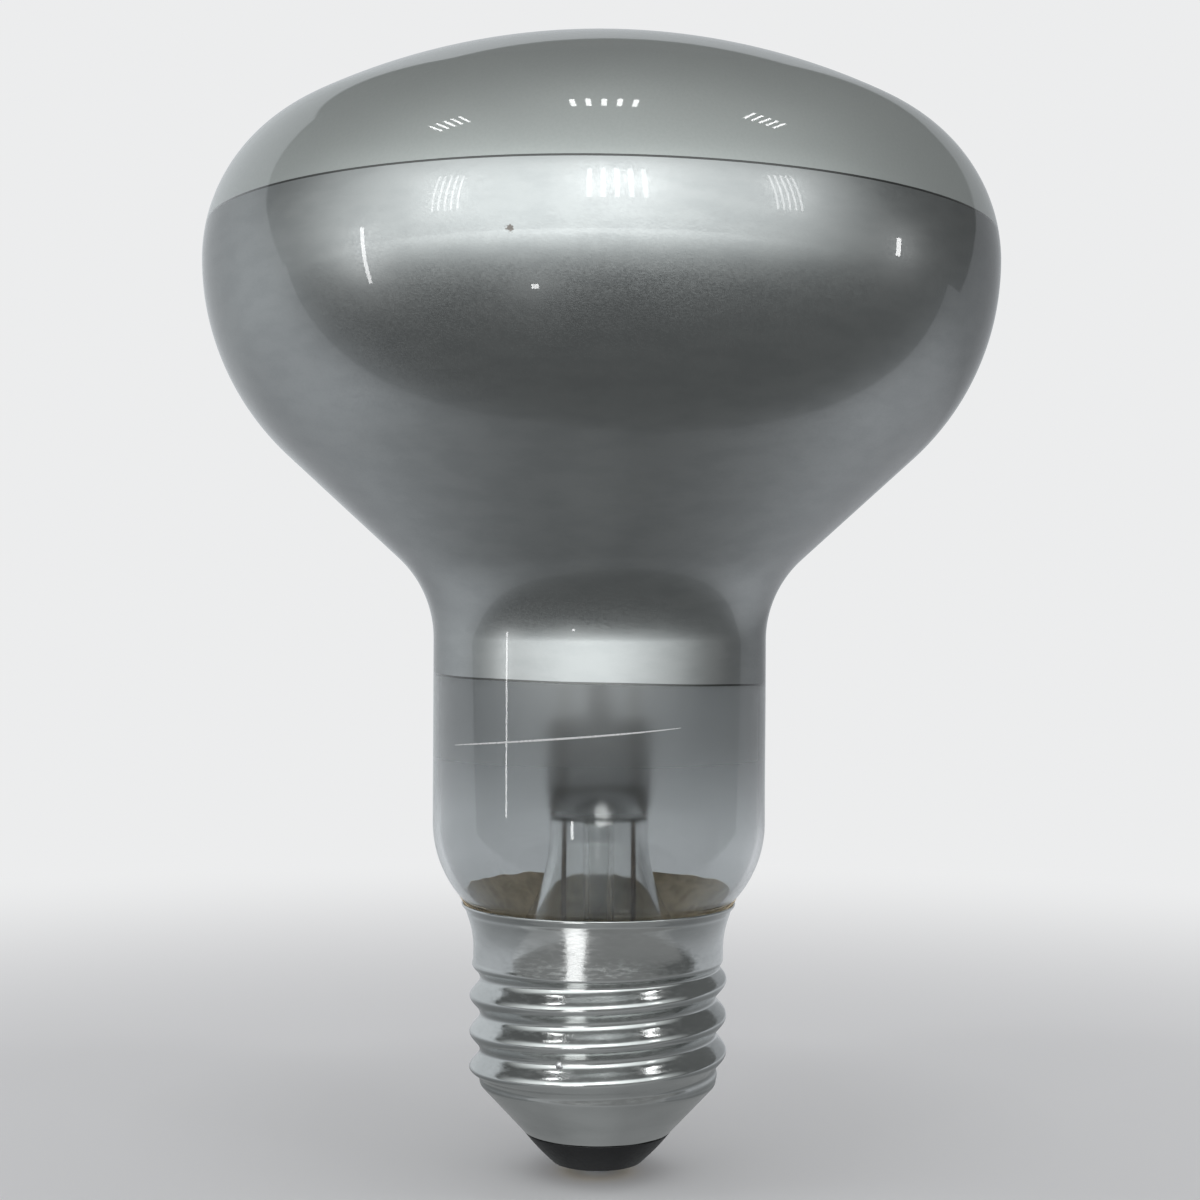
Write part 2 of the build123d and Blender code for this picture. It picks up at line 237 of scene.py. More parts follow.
class Inks:
    """Lays out the nodes of one material or of the world."""

    def __init__(self, tree: bpy.types.NodeTree) -> None:
        """Keeps the tree and empties it."""
        self.tree = tree
        tree.nodes.clear()

    def add(self, kind: str, **values: object) -> bpy.types.Node:
        """Adds a node and fills or links its inputs.

        Args:
            kind: Blender's name of the node type.
            values: Input names, with _ for a space, and a number, colour or output socket for each.

        Returns:
            The new node.
        """
        node = self.tree.nodes.new(kind)
        for name, value in values.items():
            self.set(node.inputs[name.replace("_", " ")], value)
        return node

    def set(self, socket: Socket, value: object) -> None:
        """Links an output to a socket, or writes a constant on it.

        Args:
            socket: The socket to fill.
            value: An output socket, a number or a colour.
        """
        if isinstance(value, Socket):
            self.tree.links.new(value, socket)
        elif isinstance(value, tuple) and socket.type == "RGBA":
            socket.default_value = (*value, 1.0)
        else:
            socket.default_value = value

    def fill(self, node: bpy.types.Node, values: dict[int, object], output: int = 0) -> Socket:
        """Fills or links inputs by their numbers.

        Args:
            node: The node.
            values: What goes into each input.
            output: Number of the output that is wanted.

        Returns:
            That output.
        """
        for index, value in values.items():
            self.set(node.inputs[index], value)
        return node.outputs[output]

    def math(self, operation: str, *values: object) -> Socket:
        """Result of one of the Math node's operations.

        Args:
            operation: Blender's name of it.
            values: Numbers or sockets.

        Returns:
            The result.
        """
        node = self.add("ShaderNodeMath")
        node.operation = operation
        return self.fill(node, dict(enumerate(values)))

    def ramp(self, value: Socket, span: Span, even: bool = False) -> Socket:
        """A change between two levels as a value goes up.

        Args:
            value: What goes up.
            span: Where the change starts and ends, and the levels there.
            even: Whether it is straight instead of smooth.

        Returns:
            The level.
        """
        node = self.add("ShaderNodeMapRange")
        node.interpolation_type = "LINEAR" if even else "SMOOTHSTEP"
        return self.fill(node, dict(enumerate((value, *span))))

    def mix(self, share: Socket, first: object, second: object) -> Socket:
        """A mix of two colours by a share.

        Args:
            share: Share of the second colour.
            first: The first colour.
            second: The second colour.

        Returns:
            The mixed colour.
        """
        node = self.add("ShaderNodeMix")
        node.data_type = "RGBA"
        return self.fill(node, {0: share, 6: first, 7: second}, 2)

    def blend(self, share: Socket, first: Socket, second: Socket) -> Socket:
        """A mix of two shaders by a share."""
        return self.fill(self.add("ShaderNodeMixShader"), {0: share, 1: first, 2: second})

    def vector(self, operation: str, first: Socket, second: Colour = (0.0, 0.0, 0.0)) -> Socket:
        """Result of one of the Vector Math node's operations.

        Args:
            operation: Blender's name of it.
            first: The vector.
            second: A constant vector, where the operation needs one.

        Returns:
            The result, a number or a vector.
        """
        node = self.add("ShaderNodeVectorMath")
        node.operation = operation
        number = operation in ("LENGTH", "DISTANCE", "DOT_PRODUCT")
        return self.fill(node, {0: first, 1: second}, 1 if number else 0)

    def axes(self, where: Socket) -> tuple[Socket, Socket, Socket]:
        """The three coordinates of a vector."""
        return tuple(self.add("ShaderNodeSeparateXYZ", Vector=where).outputs)

    def noise(self, where: Socket, grain_mm: float, detail: float = 3.0) -> Socket:
        """A noise pattern with grains of a size in millimetres."""
        node = self.add("ShaderNodeTexNoise", Vector=where, Scale=1 / (grain_mm * MM), Detail=detail)
        return node.outputs["Fac"]


@dataclass(frozen=True)
class Finish:
    """One finish: a shader's constants, with mottling, specks, spots, a colour over a band of heights
    (painted shade on the neck's inside glass) and grain on top.
    """

    name: str
    colour: Colour
    dull: Colour
    roughness: float
    metallic: float = 0.0
    transmission: float = 0.0
    ior: float = 1.5
    edge_tint: float = 1.0
    coat: float = 0.0
    coat_roughness: float = 0.02
    rough_spread: float = 0.05
    mottle_mm: float = 8.0
    mottle: float = 0.3
    mottle_range: Point = (0.35, 0.7)
    grain_mm: float = 0.3
    grain: float = 0.05
    grain_range: Point = (0.3, 0.7)
    grain_depth_mm: float = 0.05
    pattern: Pattern = Pattern.EVEN
    specks: float = 0.0
    speck_pitch_mm: float = 9.0
    speck_choice: Span = (0.55, 1.0, 0.0, 1.0)
    speck_colour: Colour = (0.05, 0.05, 0.05)
    spots: tuple[tuple[float, float, float, float], ...] = ()
    spot_rag_mm: float = 0.25
    spot_rag: float = 1.4
    spot_edge: Point = (1.3, 1.7)
    spot_cover: float = 0.85
    height_tint: Colour | None = None
    height_tint_span: Point = (0.0, 1.0)
    height_tint_roughness: float = 0.0

    def pigment(self, inks: Inks, where: Socket, along: Socket) -> Socket:
        """Colour with its mottling, specks and spots.

        Args:
            inks: The nodes to add to.
            where: Object coordinates.
            along: The same, stretched along the grain.

        Returns:
            The colour.
        """
        cloud = inks.ramp(inks.noise(along, self.mottle_mm), (*self.mottle_range, 0.0, self.mottle))
        colour = inks.mix(cloud, self.colour, self.dull)
        if self.specks:
            cell = inks.add("ShaderNodeTexVoronoi", Vector=where, Scale=1 / (self.speck_pitch_mm * MM))
            chosen = inks.add("ShaderNodeSeparateColor", Color=cell.outputs["Color"]).outputs[0]
            size = inks.math("MULTIPLY", inks.ramp(chosen, self.speck_choice), self.specks)
            dot = inks.math("LESS_THAN", cell.outputs["Distance"], size)
            colour = inks.mix(dot, colour, self.speck_colour)
        rag = inks.noise(where, self.spot_rag_mm, 1.0) if self.spots else None
        for *centre, size in self.spots:
            away = inks.vector("DISTANCE", where, tuple(Vector(centre) * MM))
            ragged = inks.math("MULTIPLY_ADD", rag, self.spot_rag * size * MM, away)
            inner, outer = (edge * size * MM for edge in self.spot_edge)
            cover = inks.ramp(ragged, (inner, outer, self.spot_cover, 0.0))
            colour = inks.mix(cover, colour, self.speck_colour)
        return colour

    @cache
    def material(self) -> bpy.types.Material:
        """Builds the finish on Object coordinates, the first time that it is asked for.

        Returns:
            A material whose colour and roughness vary, and whose grain is bump.
        """
        made = bpy.data.materials.new(self.name)
        made.use_nodes = True
        inks = Inks(made.node_tree)
        where = inks.add("ShaderNodeTexCoord").outputs["Object"]
        mapping = inks.add("ShaderNodeMapping", Vector=where, Scale=Vector(self.pattern.value))
        along = mapping.outputs["Vector"]
        colour = self.pigment(inks, where, along)
        shader = inks.add(
            "ShaderNodeBsdfPrincipled",
            Roughness=self.roughness,
            Metallic=self.metallic,
            IOR=self.ior,
            Specular_Tint=(self.edge_tint,) * 3,
            Transmission_Weight=self.transmission,
            Coat_Weight=self.coat,
            Coat_Roughness=self.coat_roughness,
        )
        sockets = shader.inputs
        # Over a band of heights the colour turns to another and the roughness rises; on the inside of the
        # neck glass this darker colour is painted shade.
        if self.height_tint:
            low, high = (height * MM for height in self.height_tint_span)
            tinted = inks.ramp(inks.axes(where)[2], (low, high, 0.0, 1.0))
            colour = inks.mix(tinted, colour, self.height_tint)
            rough = inks.math("MULTIPLY_ADD", tinted, self.height_tint_roughness, self.roughness)
            inks.set(sockets["Roughness"], rough)
        if self.grain:
            fine = inks.noise(along, self.grain_mm, 2.0)
            levels = (self.roughness - self.rough_spread, self.roughness + self.rough_spread)
            inks.set(sockets["Roughness"], inks.ramp(fine, (*self.grain_range, *levels)))
            depth = self.grain_depth_mm * MM
            bump = inks.add("ShaderNodeBump", Strength=self.grain, Distance=depth, Height=fine)
            inks.set(sockets["Normal"], bump.outputs["Normal"])
        inks.set(sockets["Base Color"], colour)
        inks.add("ShaderNodeOutputMaterial", Surface=shader.outputs["BSDF"])
        return made


CLEAR_GLASS = Finish("clear_glass", (0.95, 0.96, 0.955), (0.9, 0.915, 0.91), 0.015, transmission=1.0,
                     grain=0.0, mottle_mm=20.0)
# Inside of the neck: painted shade. Its darker grey, and the still darker band from 31 to 46 mm, stand in for
# the shaded floor behind the neck, seen through the glass.
SHADED_NECK_GLASS = Finish("neck_glass_painted_shade", (0.6, 0.618, 0.622), (0.54, 0.558, 0.562), 0.02, transmission=1.0,
                     grain=0.0, mottle_mm=9.0, height_tint=(0.29, 0.3, 0.304), height_tint_span=(31.0, 46.0),
                     height_tint_roughness=0.3)
SCRATCHED_GLASS = Finish("scratched_glass", (0.95, 0.96, 0.96), (0.8, 0.82, 0.82), 0.3, transmission=0.15,
                         grain=0.3)
FROSTED_GLASS = Finish("frosted_glass", (0.5, 0.53, 0.515), (0.445, 0.47, 0.46), 0.53, metallic=0.76,
                       edge_tint=0.7, coat=1.0, grain=0.06, grain_mm=0.25, mottle_mm=18.0)
SILVERED_GLASS = Finish("silvered_glass", (0.45, 0.465, 0.465), (0.36, 0.375, 0.38), 0.34, metallic=1.0,
                        coat=1.0, edge_tint=0.1, mottle_mm=4.0, mottle=0.4, pattern=Pattern.WIPED,
                        specks=0.02, speck_colour=(0.1, 0.075, 0.06),
                        spots=((-7.7, -39.1, 89.2, 0.4), (-17.2, -21.0, 67.7, 0.4),
                               (-27.6, -20.5, 74.7, 0.35)))
FILM_EDGE = Finish("film_edge", (0.09, 0.092, 0.09), (0.05, 0.05, 0.05), 0.4, metallic=1.0, coat=1.0,
                   grain=0.1)
MIRROR_FILM = Finish("mirror_film", (0.8, 0.8, 0.79), (0.7, 0.7, 0.7), 0.22, metallic=1.0, grain=0.1)
CAP_METAL = Finish("cap_metal", (0.6, 0.615, 0.61), (0.47, 0.485, 0.48), 0.17, metallic=1.0,
                   rough_spread=0.07, mottle_mm=9.0, mottle=0.6, grain_mm=0.9, grain=0.07,
                   pattern=Pattern.WIPED, speck_colour=(0.06, 0.06, 0.06),
                   spots=((-3.99, -12.27, 13.1, 0.75),))
BLACK_GLASS = Finish("black_glass", (0.006, 0.006, 0.007), (0.012, 0.012, 0.013), 0.38, coat=0.06,
                     coat_roughness=0.12, mottle_mm=2.0, grain_mm=0.4, grain=0.25)
BRASS = Finish("contact_brass", (0.72, 0.55, 0.27), (0.5, 0.36, 0.18), 0.3, metallic=1.0, mottle_mm=1.5,
               mottle=0.6)
SOLDER = Finish("tin_solder", (0.62, 0.62, 0.63), (0.42, 0.42, 0.43), 0.34, metallic=1.0, mottle_mm=0.8,
                grain=0.3)
CEMENT = Finish("basing_cement", (0.7, 0.59, 0.42), (0.5, 0.41, 0.28), 0.85, mottle_mm=1.2, mottle=1.0,
                grain_mm=0.35, grain=0.8)
STEM_GLASS = Finish("stem_glass", (0.95, 0.955, 0.95), (0.9, 0.9, 0.9), 0.07, transmission=1.0, grain=0.0,
                    ior=1.53, height_tint=(0.34, 0.345, 0.345), height_tint_span=(35.6, 38.0), height_tint_roughness=0.4)
BLOWN_LIP = Finish("blown_lip", (0.92, 0.93, 0.93), (0.8, 0.82, 0.82), 0.4, mottle_mm=1.0, mottle=0.4)
COPPER_LEAD = Finish("copper_lead", (0.24, 0.19, 0.16), (0.15, 0.12, 0.1), 0.4, metallic=1.0, mottle_mm=2.0)
NICKEL_WIRE = Finish("nickel_wire", (0.55, 0.54, 0.51), (0.4, 0.39, 0.37), 0.3, metallic=1.0, mottle_mm=2.0,
                     pattern=Pattern.DRAWN)
TUNGSTEN = Finish("tungsten", (0.26, 0.26, 0.27), (0.18, 0.18, 0.19), 0.42, metallic=1.0, mottle_mm=1.0)

NODE_FINISHES = {
    "outer_lead_centre": COPPER_LEAD,
    "outer_lead_side": COPPER_LEAD,
    "seal_wire_left": COPPER_LEAD,
    "seal_wire_right": COPPER_LEAD,
    "inner_lead_left": NICKEL_WIRE,
    "inner_lead_right": NICKEL_WIRE,
    "support_wire_left": TUNGSTEN,
    "support_wire_front": TUNGSTEN,
    "support_wire_right": TUNGSTEN,
    "support_rod": STEM_GLASS,
}


def ring_faces(rows: int, columns: int, loop: bool) -> list[list[int]]:
    """Quads between neighbouring rows of a grid whose columns close on themselves.

    Args:
        rows: Number of rows.
        columns: Points in a row.
        loop: Whether the last row joins the first.

    Returns:
        Corner numbers, four to a face, facing outwards where rows go down the outside.
    """
    row, column = np.meshgrid(np.arange(rows if loop else rows - 1), np.arange(columns), indexing="ij")
    below, beside = (row + 1) % rows, (column + 1) % columns
    row, below = row * columns, below * columns
    corners = [row + column, below + column, below + beside, row + beside]
    return np.stack(corners, axis=-1).reshape(-1, 4).tolist()


def make_piece(name: str, points: np.ndarray, ends: Ends, finishes: list[Finish], node: str = "",
               bands: np.ndarray | None = None) -> None:
    """Makes one closed piece from a grid of rings, dresses it and lets it ride on the part.

    Args:
        name: The piece's name.
        points: Rows by columns by 3, in millimetres.
        ends: How the first and last rows close.
        finishes: Finishes of the piece.
        node: The node that the piece stands for, if any.
        bands: For each band between two rows of a piece with poles, the number of its finish.
    """
    rows, columns = points.shape[:2]
    if ends is Ends.LOOP:
        vertices, faces = points.reshape(-1, 3), ring_faces(rows, columns, True)
    else:
        between = points[1:-1].reshape(-1, 3)
        vertices = np.concatenate([between, points[:1, 0], points[-1:, 0]])
        here = np.arange(columns)
        beside, foot = (here + 1) % columns, (rows - 3) * columns
        top_fan = np.stack([np.full(columns, len(between)), here, beside], axis=-1)
        foot_fan = np.stack([foot + here, np.full(columns, len(between) + 1), foot + beside], axis=-1)
        faces = ring_faces(rows - 2, columns, False) + top_fan.tolist() + foot_fan.tolist()
    mesh = bpy.data.meshes.new(name)
    mesh.from_pydata((vertices * MM).tolist(), [], faces)
    for finish in finishes:
        mesh.materials.append(finish.material())
    if bands is not None:
        in_face_order = np.concatenate([bands[1:-1], bands[:1], bands[-1:]])
        mesh.polygons.foreach_set("material_index", np.repeat(in_face_order, columns).astype(np.int32))
    mesh.polygons.foreach_set("use_smooth", np.ones(len(faces), bool))
    mesh.update()
    piece = bpy.data.objects.new(name, mesh)
    bpy.context.scene.collection.objects.link(piece)
    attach(piece, BODY)
    if node:
        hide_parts(node)
    LOG.info("%s: %d faces, for %s", name, len(faces), node or "looks")


@dataclass
class BulbGlass:
    """Blown bulb and its mirror film, in millimetres: a chain of tangent arcs turned about the axis."""

    overall_length: float = 114.0
    bulb_radius: float = 40.0
    face_radius: float = 66.0
    shoulder_radius: float = 16.4
    bowl_radius: float = 26.0
    bowl_angle: float = 47.5
    neck_fillet: float = 11.0
    neck_radius: float = 16.85
    neck_foot_z: float = 35.613
    heel_radius: float = 11.5
    collar_radius: float = 11.0
    collar_bend: float = 4.0
    seal_z: float = 21.883
    wall: float = 0.7
    film_thickness: float = 0.1
    film_above_equator: float = 3.9
    film_below_fillet: float = 3.8
    film_line: float = 0.2
    film_drop: float = 0.35
    film_lean: float = 0.33
    film_sag: float = 0.7
    film_tilt: float = 0.42
    film_wave: float = 0.1
    film_waves: Waves = Waves(9, 0.0, 5)
    wobble: float = 0.02
    wobble_waves: Waves = Waves(3, 0.25, 11)
    calm_length: float = 4.0
    scratch_from: Point = (212.0, 43.85)
    scratch_to: Point = (299.0, 46.04)
    scratch_radius: float = 0.11
    scratch_proud: float = 0.02
    columns: int = 168

    def __post_init__(self) -> None:
        """Works out the arcs' shared angles and heights."""
        gap = self.face_radius - self.shoulder_radius
        self.shoulder_r = self.bulb_radius - self.shoulder_radius
        self.shoulder_angle = degrees(acos(self.shoulder_r / gap))
        self.line_angle = degrees(self.film_line / self.shoulder_radius)
        self.face_z = self.overall_length - self.face_radius
        self.equator_z = self.face_z + gap * sin(radians(self.shoulder_angle))
        bend = radians(self.bowl_angle)
        arms = self.bowl_radius + self.neck_fillet
        self.cone_length = (self.bulb_radius - self.neck_radius - arms * (1 - cos(bend))) / sin(bend)
        self.neck_top_z = self.equator_z - arms * sin(bend) - self.cone_length * cos(bend)
        self.film_foot_z = self.neck_top_z - self.film_below_fillet
        reach = self.heel_radius + self.collar_bend
        self.heel_angle = degrees(acos(1 - (self.neck_radius - self.collar_radius) / reach))
        self.collar_top_z = self.neck_foot_z - reach * sin(radians(self.heel_angle))

    def film_angle(self, inset: float) -> float:
        """Angle on the shoulder's arc of the film's upper edge, in degrees, at an inset."""
        return degrees(asin(self.film_above_equator / (self.shoulder_radius - inset)))

    def shoulder(self, inset: float, start: float, end: float, rows: int) -> np.ndarray:
        """Outline of the shoulder between two angles."""
        return arc((self.shoulder_r, self.equator_z), self.shoulder_radius - inset, start, end, rows)

    def crown(self, inset: float, rows: int) -> np.ndarray:
        """Outline of the face and the clear part of the shoulder, down to the line above the film."""
        face = arc((0.0, self.face_z), self.face_radius - inset, 90, self.shoulder_angle, rows)
        line = self.film_angle(inset) + self.line_angle
        return chain(face, self.shoulder(inset, self.shoulder_angle, line, rows))

    def top_line(self, inset: float) -> np.ndarray:
        """Outline of the thin line at the film's upper edge."""
        edge = self.film_angle(inset)
        return self.shoulder(inset, edge + self.line_angle, edge, 3)

    def foot_line(self, inset: float) -> np.ndarray:
        """Outline of the thin line at the film's lower edge."""
        radius = self.neck_radius - inset
        return runs((3,), (radius, self.film_foot_z), (radius, self.film_foot_z - self.film_line))

    def mirror(self, inset: float, rows: int) -> np.ndarray:
        """Outline of the silvered part, from the film's upper edge to its lower edge on the neck.

        Args:
            inset: Depth below the outer surface.
            rows: Points on each long arc.

        Returns:
            Points as rows of radius and height.
        """
        top = self.shoulder(inset, self.film_angle(inset), 0, rows // 3)
        bowl_centre = (self.bulb_radius - self.bowl_radius, self.equator_z)
        bowl = arc(bowl_centre, self.bowl_radius - inset, 0, -self.bowl_angle, rows)
        fillet_centre = (self.neck_radius + self.neck_fillet, self.neck_top_z)
        fillet = arc(fillet_centre, self.neck_fillet + inset, 180 - self.bowl_angle, 180, rows)
        cone = runs((rows // 3,), bowl[-1], fillet[0])
        neck = runs((rows // 4,), fillet[-1], (self.neck_radius - inset, self.film_foot_z))
        return chain(top, bowl, cone, fillet, neck)

    def foot(self, inset: float, rows: int) -> np.ndarray:
        """Outline of the clear neck, its heel and the collar inside the cap.

        Args:
            inset: Depth below the outer surface.
            rows: Points on each long stretch.

        Returns:
            Points as rows of radius and height.
        """
        radius, inner = self.neck_radius - inset, self.collar_radius - inset
        neck = runs((rows,), (radius, self.film_foot_z - self.film_line), (radius, self.neck_foot_z))
        heel_centre = (self.neck_radius - self.heel_radius, self.neck_foot_z)
        heel = arc(heel_centre, self.heel_radius - inset, 0, -self.heel_angle, rows)
        bend_centre = (self.collar_radius + self.collar_bend, self.collar_top_z)
        bend = arc(bend_centre, self.collar_bend + inset, 180 - self.heel_angle, 180, rows // 2)
        return chain(neck, heel, bend, runs((rows // 4,), (inner, self.collar_top_z), (inner, self.seal_z)))

    def film_foot(self, angle: np.ndarray, height: np.ndarray) -> np.ndarray:
        """Draws the film's lower edge tilted and wavy, by a shift along the plain neck that fades out.

        At an angle a about the axis the edge moves by -tilt cos(a), plus the waves.

        Args:
            angle: Angles about the axis.
            height: Heights.

        Returns:
            New heights.
        """
        share = smooth(1 - np.abs(height - self.film_foot_z) / self.film_below_fillet)
        wave = self.film_wave * self.film_waves.over(angle, 0 * height)
        return height + share * (wave - self.film_tilt * np.cos(angle))

    def film_crest(self, radius: np.ndarray, angle: np.ndarray,
                   height: np.ndarray) -> tuple[np.ndarray, np.ndarray]:
        """Slides the rows at the film's upper edge round the shoulder, so that the edge leans and sags.

        At an angle a about the axis the edge goes down by drop + lean cos(a) + sag cos(a)^2, and the slide
        fades out on both sides of it.

        Args:
            radius: Distances from the axis.
            angle: Angles about the axis.
            height: Heights.

        Returns:
            New distances from the axis and new heights, on the same surface.
        """
        out, up = radius - self.shoulder_r, height - self.equator_z
        edge = radians(self.film_angle(0))
        turned = np.arctan2(up, out)
        share = smooth(1 - np.abs(turned - edge) / edge)
        lower = self.film_drop + self.film_lean * np.cos(angle) + self.film_sag * np.cos(angle) ** 2
        turned = turned - share * lower / self.shoulder_radius
        reach = np.hypot(out, up)
        return (np.where(share > 0, self.shoulder_r + reach * np.cos(turned), radius),
                np.where(share > 0, self.equator_z + reach * np.sin(turned), height))

    def build_glass(self) -> None:
        """Makes the glass wall: down the outside from the crown, and up the inside, whose neck is darkened as
        painted shade.
        """
        finishes = [CLEAR_GLASS, FROSTED_GLASS, SILVERED_GLASS, FILM_EDGE, SHADED_NECK_GLASS]
        wall = self.wall
        outside = [(self.crown(0, 40), FROSTED_GLASS), (self.top_line(0), FILM_EDGE),
                   (self.mirror(0, 44), SILVERED_GLASS), (self.foot_line(0), FILM_EDGE),
                   (self.foot(0, 48), CLEAR_GLASS)]
        # The inside of the neck takes the darker glass, which is painted shade.
        inside = [(self.crown(wall, 28), FROSTED_GLASS), (self.top_line(wall), FROSTED_GLASS),
                  (self.mirror(wall, 30), CLEAR_GLASS), (self.foot_line(wall), SHADED_NECK_GLASS),
                  (self.foot(wall, 40), SHADED_NECK_GLASS)]
        down, up = (chain(*(stretch for stretch, _ in side)) for side in (outside, inside))
        stretches = outside + inside[::-1]
        lengths = [len(stretch) - 1 for stretch, _ in stretches]
        lengths[len(outside) - 1] += 1
        bands = np.repeat([finishes.index(finish) for _, finish in stretches], lengths)
        radius, angle, height = turn(np.concatenate([down, up[::-1]]), self.columns)
        radius, height = self.film_crest(radius, angle, height)
        calm = np.clip((self.overall_length - height) / self.calm_length, 0, 1)
        calm = calm * np.clip((height - self.neck_foot_z) / self.calm_length, 0, 1)
        radius = radius + self.wobble * calm * self.wobble_waves.over(angle, height)
        points = place(radius, angle, self.film_foot(angle, height))
        make_piece("bulb_glass", points, Ends.POLES, finishes, "glass_bulb", bands)

    def build_scratch(self) -> None:
        """Makes the long scratch across the neck: a fine thread of raised glass that thins out at both ends.

        At a share t of its way the thread's angle and height change evenly, and its radius goes with
        the square root of sin(pi t).
        """
        share = np.linspace(0.02, 0.98, 140)
        start, end = np.array(self.scratch_from), np.array(self.scratch_to)
        angle, height = (start + share[:, None] * (end - start)).T
        path = place(np.full_like(share, self.neck_radius + self.scratch_proud), np.radians(angle), height)
        radius = self.scratch_radius * np.sqrt(np.sin(pi * share))
        points = tube_grid(path, radius, 8, np.array([0.0, 0.0, 1.0]))
        make_piece("neck_scratch", points, Ends.POLES, [SCRATCHED_GLASS])

    def build_film(self) -> None:
        """Makes the thin mirror film on the inside of the wall."""
        outside = self.mirror(self.wall, 36)
        inside = self.mirror(self.wall + self.film_thickness, 36)
        radius, angle, height = turn(np.concatenate([outside, inside[::-1]]), self.columns)
        radius, height = self.film_crest(radius, angle, height)
        points = place(radius, angle, self.film_foot(angle, height))
        make_piece("mirror_film", points, Ends.LOOP, [MIRROR_FILM], "reflector_film")


@dataclass
class ScrewCap:
    """Rolled screw shell and its weld mark, in millimetres."""

    cap_height: float = 27.4
    sheet: float = 0.3
    rim_radius: float = 13.85
    skirt_radius: float = 12.7
    flare_z: float = 22.8
    thread_top_z: float = 21.8
    thread_bottom_z: float = 9.5
    thread_crest_radius: float = 13.05
    thread_depth: float = 1.05
    thread_pitch: float = 3.629
    thread_phase_z: float = 12.5
    thread_fade: float = 1.3
    cone_bend: float = 0.8
    cone_angle: float = 43.0
    cone_foot_z: float = 4.3
    cone_top_radius: float = 12.0
    bead_height: float = 0.1
    bead_below_rim: float = 0.22
    bead_spread: float = 0.2
    groove_share: float = 0.6
    groove_below_rim: float = 0.75
    groove_spread: float = 0.22
    crease: float = 0.018
    crease_waves: Waves = Waves(14, 1.6, 3)
    weld_angle: float = 252.0
    weld_z: float = 13.1
    weld_sink: float = 0.1
    weld: Dome = Dome(0.45, 0.3)
    columns: int = 192

    def __post_init__(self) -> None:
        """Works out the cone's foot and the thread's middle."""
        slope = radians(self.cone_angle)
        bend_r = self.cone_top_radius - self.cone_bend * (1 - cos(slope))
        bend_z = self.thread_bottom_z - self.cone_bend * sin(slope)
        self.cone_foot_radius = bend_r - (bend_z - self.cone_foot_z) * tan(slope)
        self.thread_middle = self.thread_crest_radius - self.thread_depth / 2

    def flare(self, depth: float, top_z: float, foot_z: float, counts: tuple[int, int]) -> np.ndarray:
        """Outline of the flared skirt at a depth in the sheet: an arc and a straight wall below it.

        Args:
            depth: Depth below the outer surface.
            top_z: Where the arc starts.
            foot_z: Where the wall ends.
            counts: Points on the arc and on the wall.

        Returns:
            Points as rows of radius and height.
        """
        bend = bend_radius(self.rim_radius - self.skirt_radius, self.cap_height - self.flare_z)
        lean = degrees(asin((top_z - self.flare_z) / bend))
        side = arc((self.skirt_radius + bend - depth, self.flare_z), bend, 180 - lean, 180, counts[0])
        return chain(side, runs(counts[1:], side[-1], (self.skirt_radius - depth, foot_z)))

    def cone(self, depth: float, rows: int) -> np.ndarray:
        """Outline of the conical foot, from the thread to the lower edge.

        Args:
            depth: Depth below the outer surface.
            rows: Points on the straight part.

        Returns:
            Points as rows of radius and height.
        """
        slope = radians(self.cone_angle)
        centre = (self.cone_top_radius - self.cone_bend, self.thread_bottom_z)
        bend = arc(centre, self.cone_bend - depth, 0, -self.cone_angle, rows // 3)
        foot = (self.cone_foot_radius - depth * cos(slope), self.cone_foot_z + depth * sin(slope))
        return chain(bend, runs((rows,), bend[-1], foot))

    def thread_radius(self, radius: np.ndarray, angle: np.ndarray, height: np.ndarray,
                      depth: np.ndarray) -> np.ndarray:
        """Radius of the threaded wall: a circle whose centre goes round the axis once in each pitch.

        Seen from the axis, a circle of radius R with its centre at distance e in the direction of the crest
        has the radius e cos(t) + sqrt(R^2 - e^2 sin^2(t)), where t is the angle from the crest.

        Args:
            radius: Radius without the thread.
            angle: Angle about the axis.
            height: Height.
            depth: Depth in the sheet.

        Returns:
            Radius with the thread, which fades out at both ends.
        """
        from_foot = smooth((height - self.thread_bottom_z) / self.thread_fade)
        cut = from_foot * smooth((self.thread_top_z - height) / self.thread_fade)
        offset = cut * self.thread_depth / 2
        middle = cut * (self.thread_middle - depth) + (1 - cut) * radius
        away = angle - 2 * pi * (height - self.thread_phase_z) / self.thread_pitch
        return offset * np.cos(away) + np.sqrt(middle**2 - (offset * np.sin(away)) ** 2)

    def shell_side(self, depth: float, rows: int) -> np.ndarray:
        """Outline of one side of the shell without its thread, from the rim to the lower edge.

        Args:
            depth: Depth below the outer surface.
            rows: Points on the thread.

        Returns:
            Points as rows of radius and height.
        """
        top = self.flare(depth, self.cap_height, self.thread_top_z, (rows // 4, rows // 16))
        middle_z = (self.thread_top_z + self.thread_bottom_z) / 2
        upper = runs((rows // 2,), top[-1], (self.skirt_radius - depth, middle_z))
        radius = self.cone_top_radius - depth
        lower = runs((rows // 2,), (radius, middle_z), (radius, self.thread_bottom_z))
        return chain(top, upper, lower, self.cone(depth, rows // 4))

    def build_shell(self) -> None:
        """Makes the rolled shell: down the outside from its beaded rim, and up the inside."""
        outside = self.shell_side(0, 160)
        inside = self.shell_side(self.sheet, 110)[::-1]
        depth = np.repeat([0.0, self.sheet], [len(outside), len(inside)])[:, None]
        radius, angle, height = turn(np.concatenate([outside, inside]), self.columns)
        radius = self.thread_radius(radius, angle, height, depth)
        bead = hump(height, self.cap_height - self.bead_below_rim, self.bead_spread)
        groove = hump(height, self.cap_height - self.groove_below_rim, self.groove_spread)
        radius = radius + self.bead_height * (bead - self.groove_share * groove)
        radius = radius + self.crease * self.crease_waves.over(angle, height)
        points = place(radius, angle, height)
        make_piece("screw_shell_metal", points, Ends.LOOP, [CAP_METAL], "screw_shell")

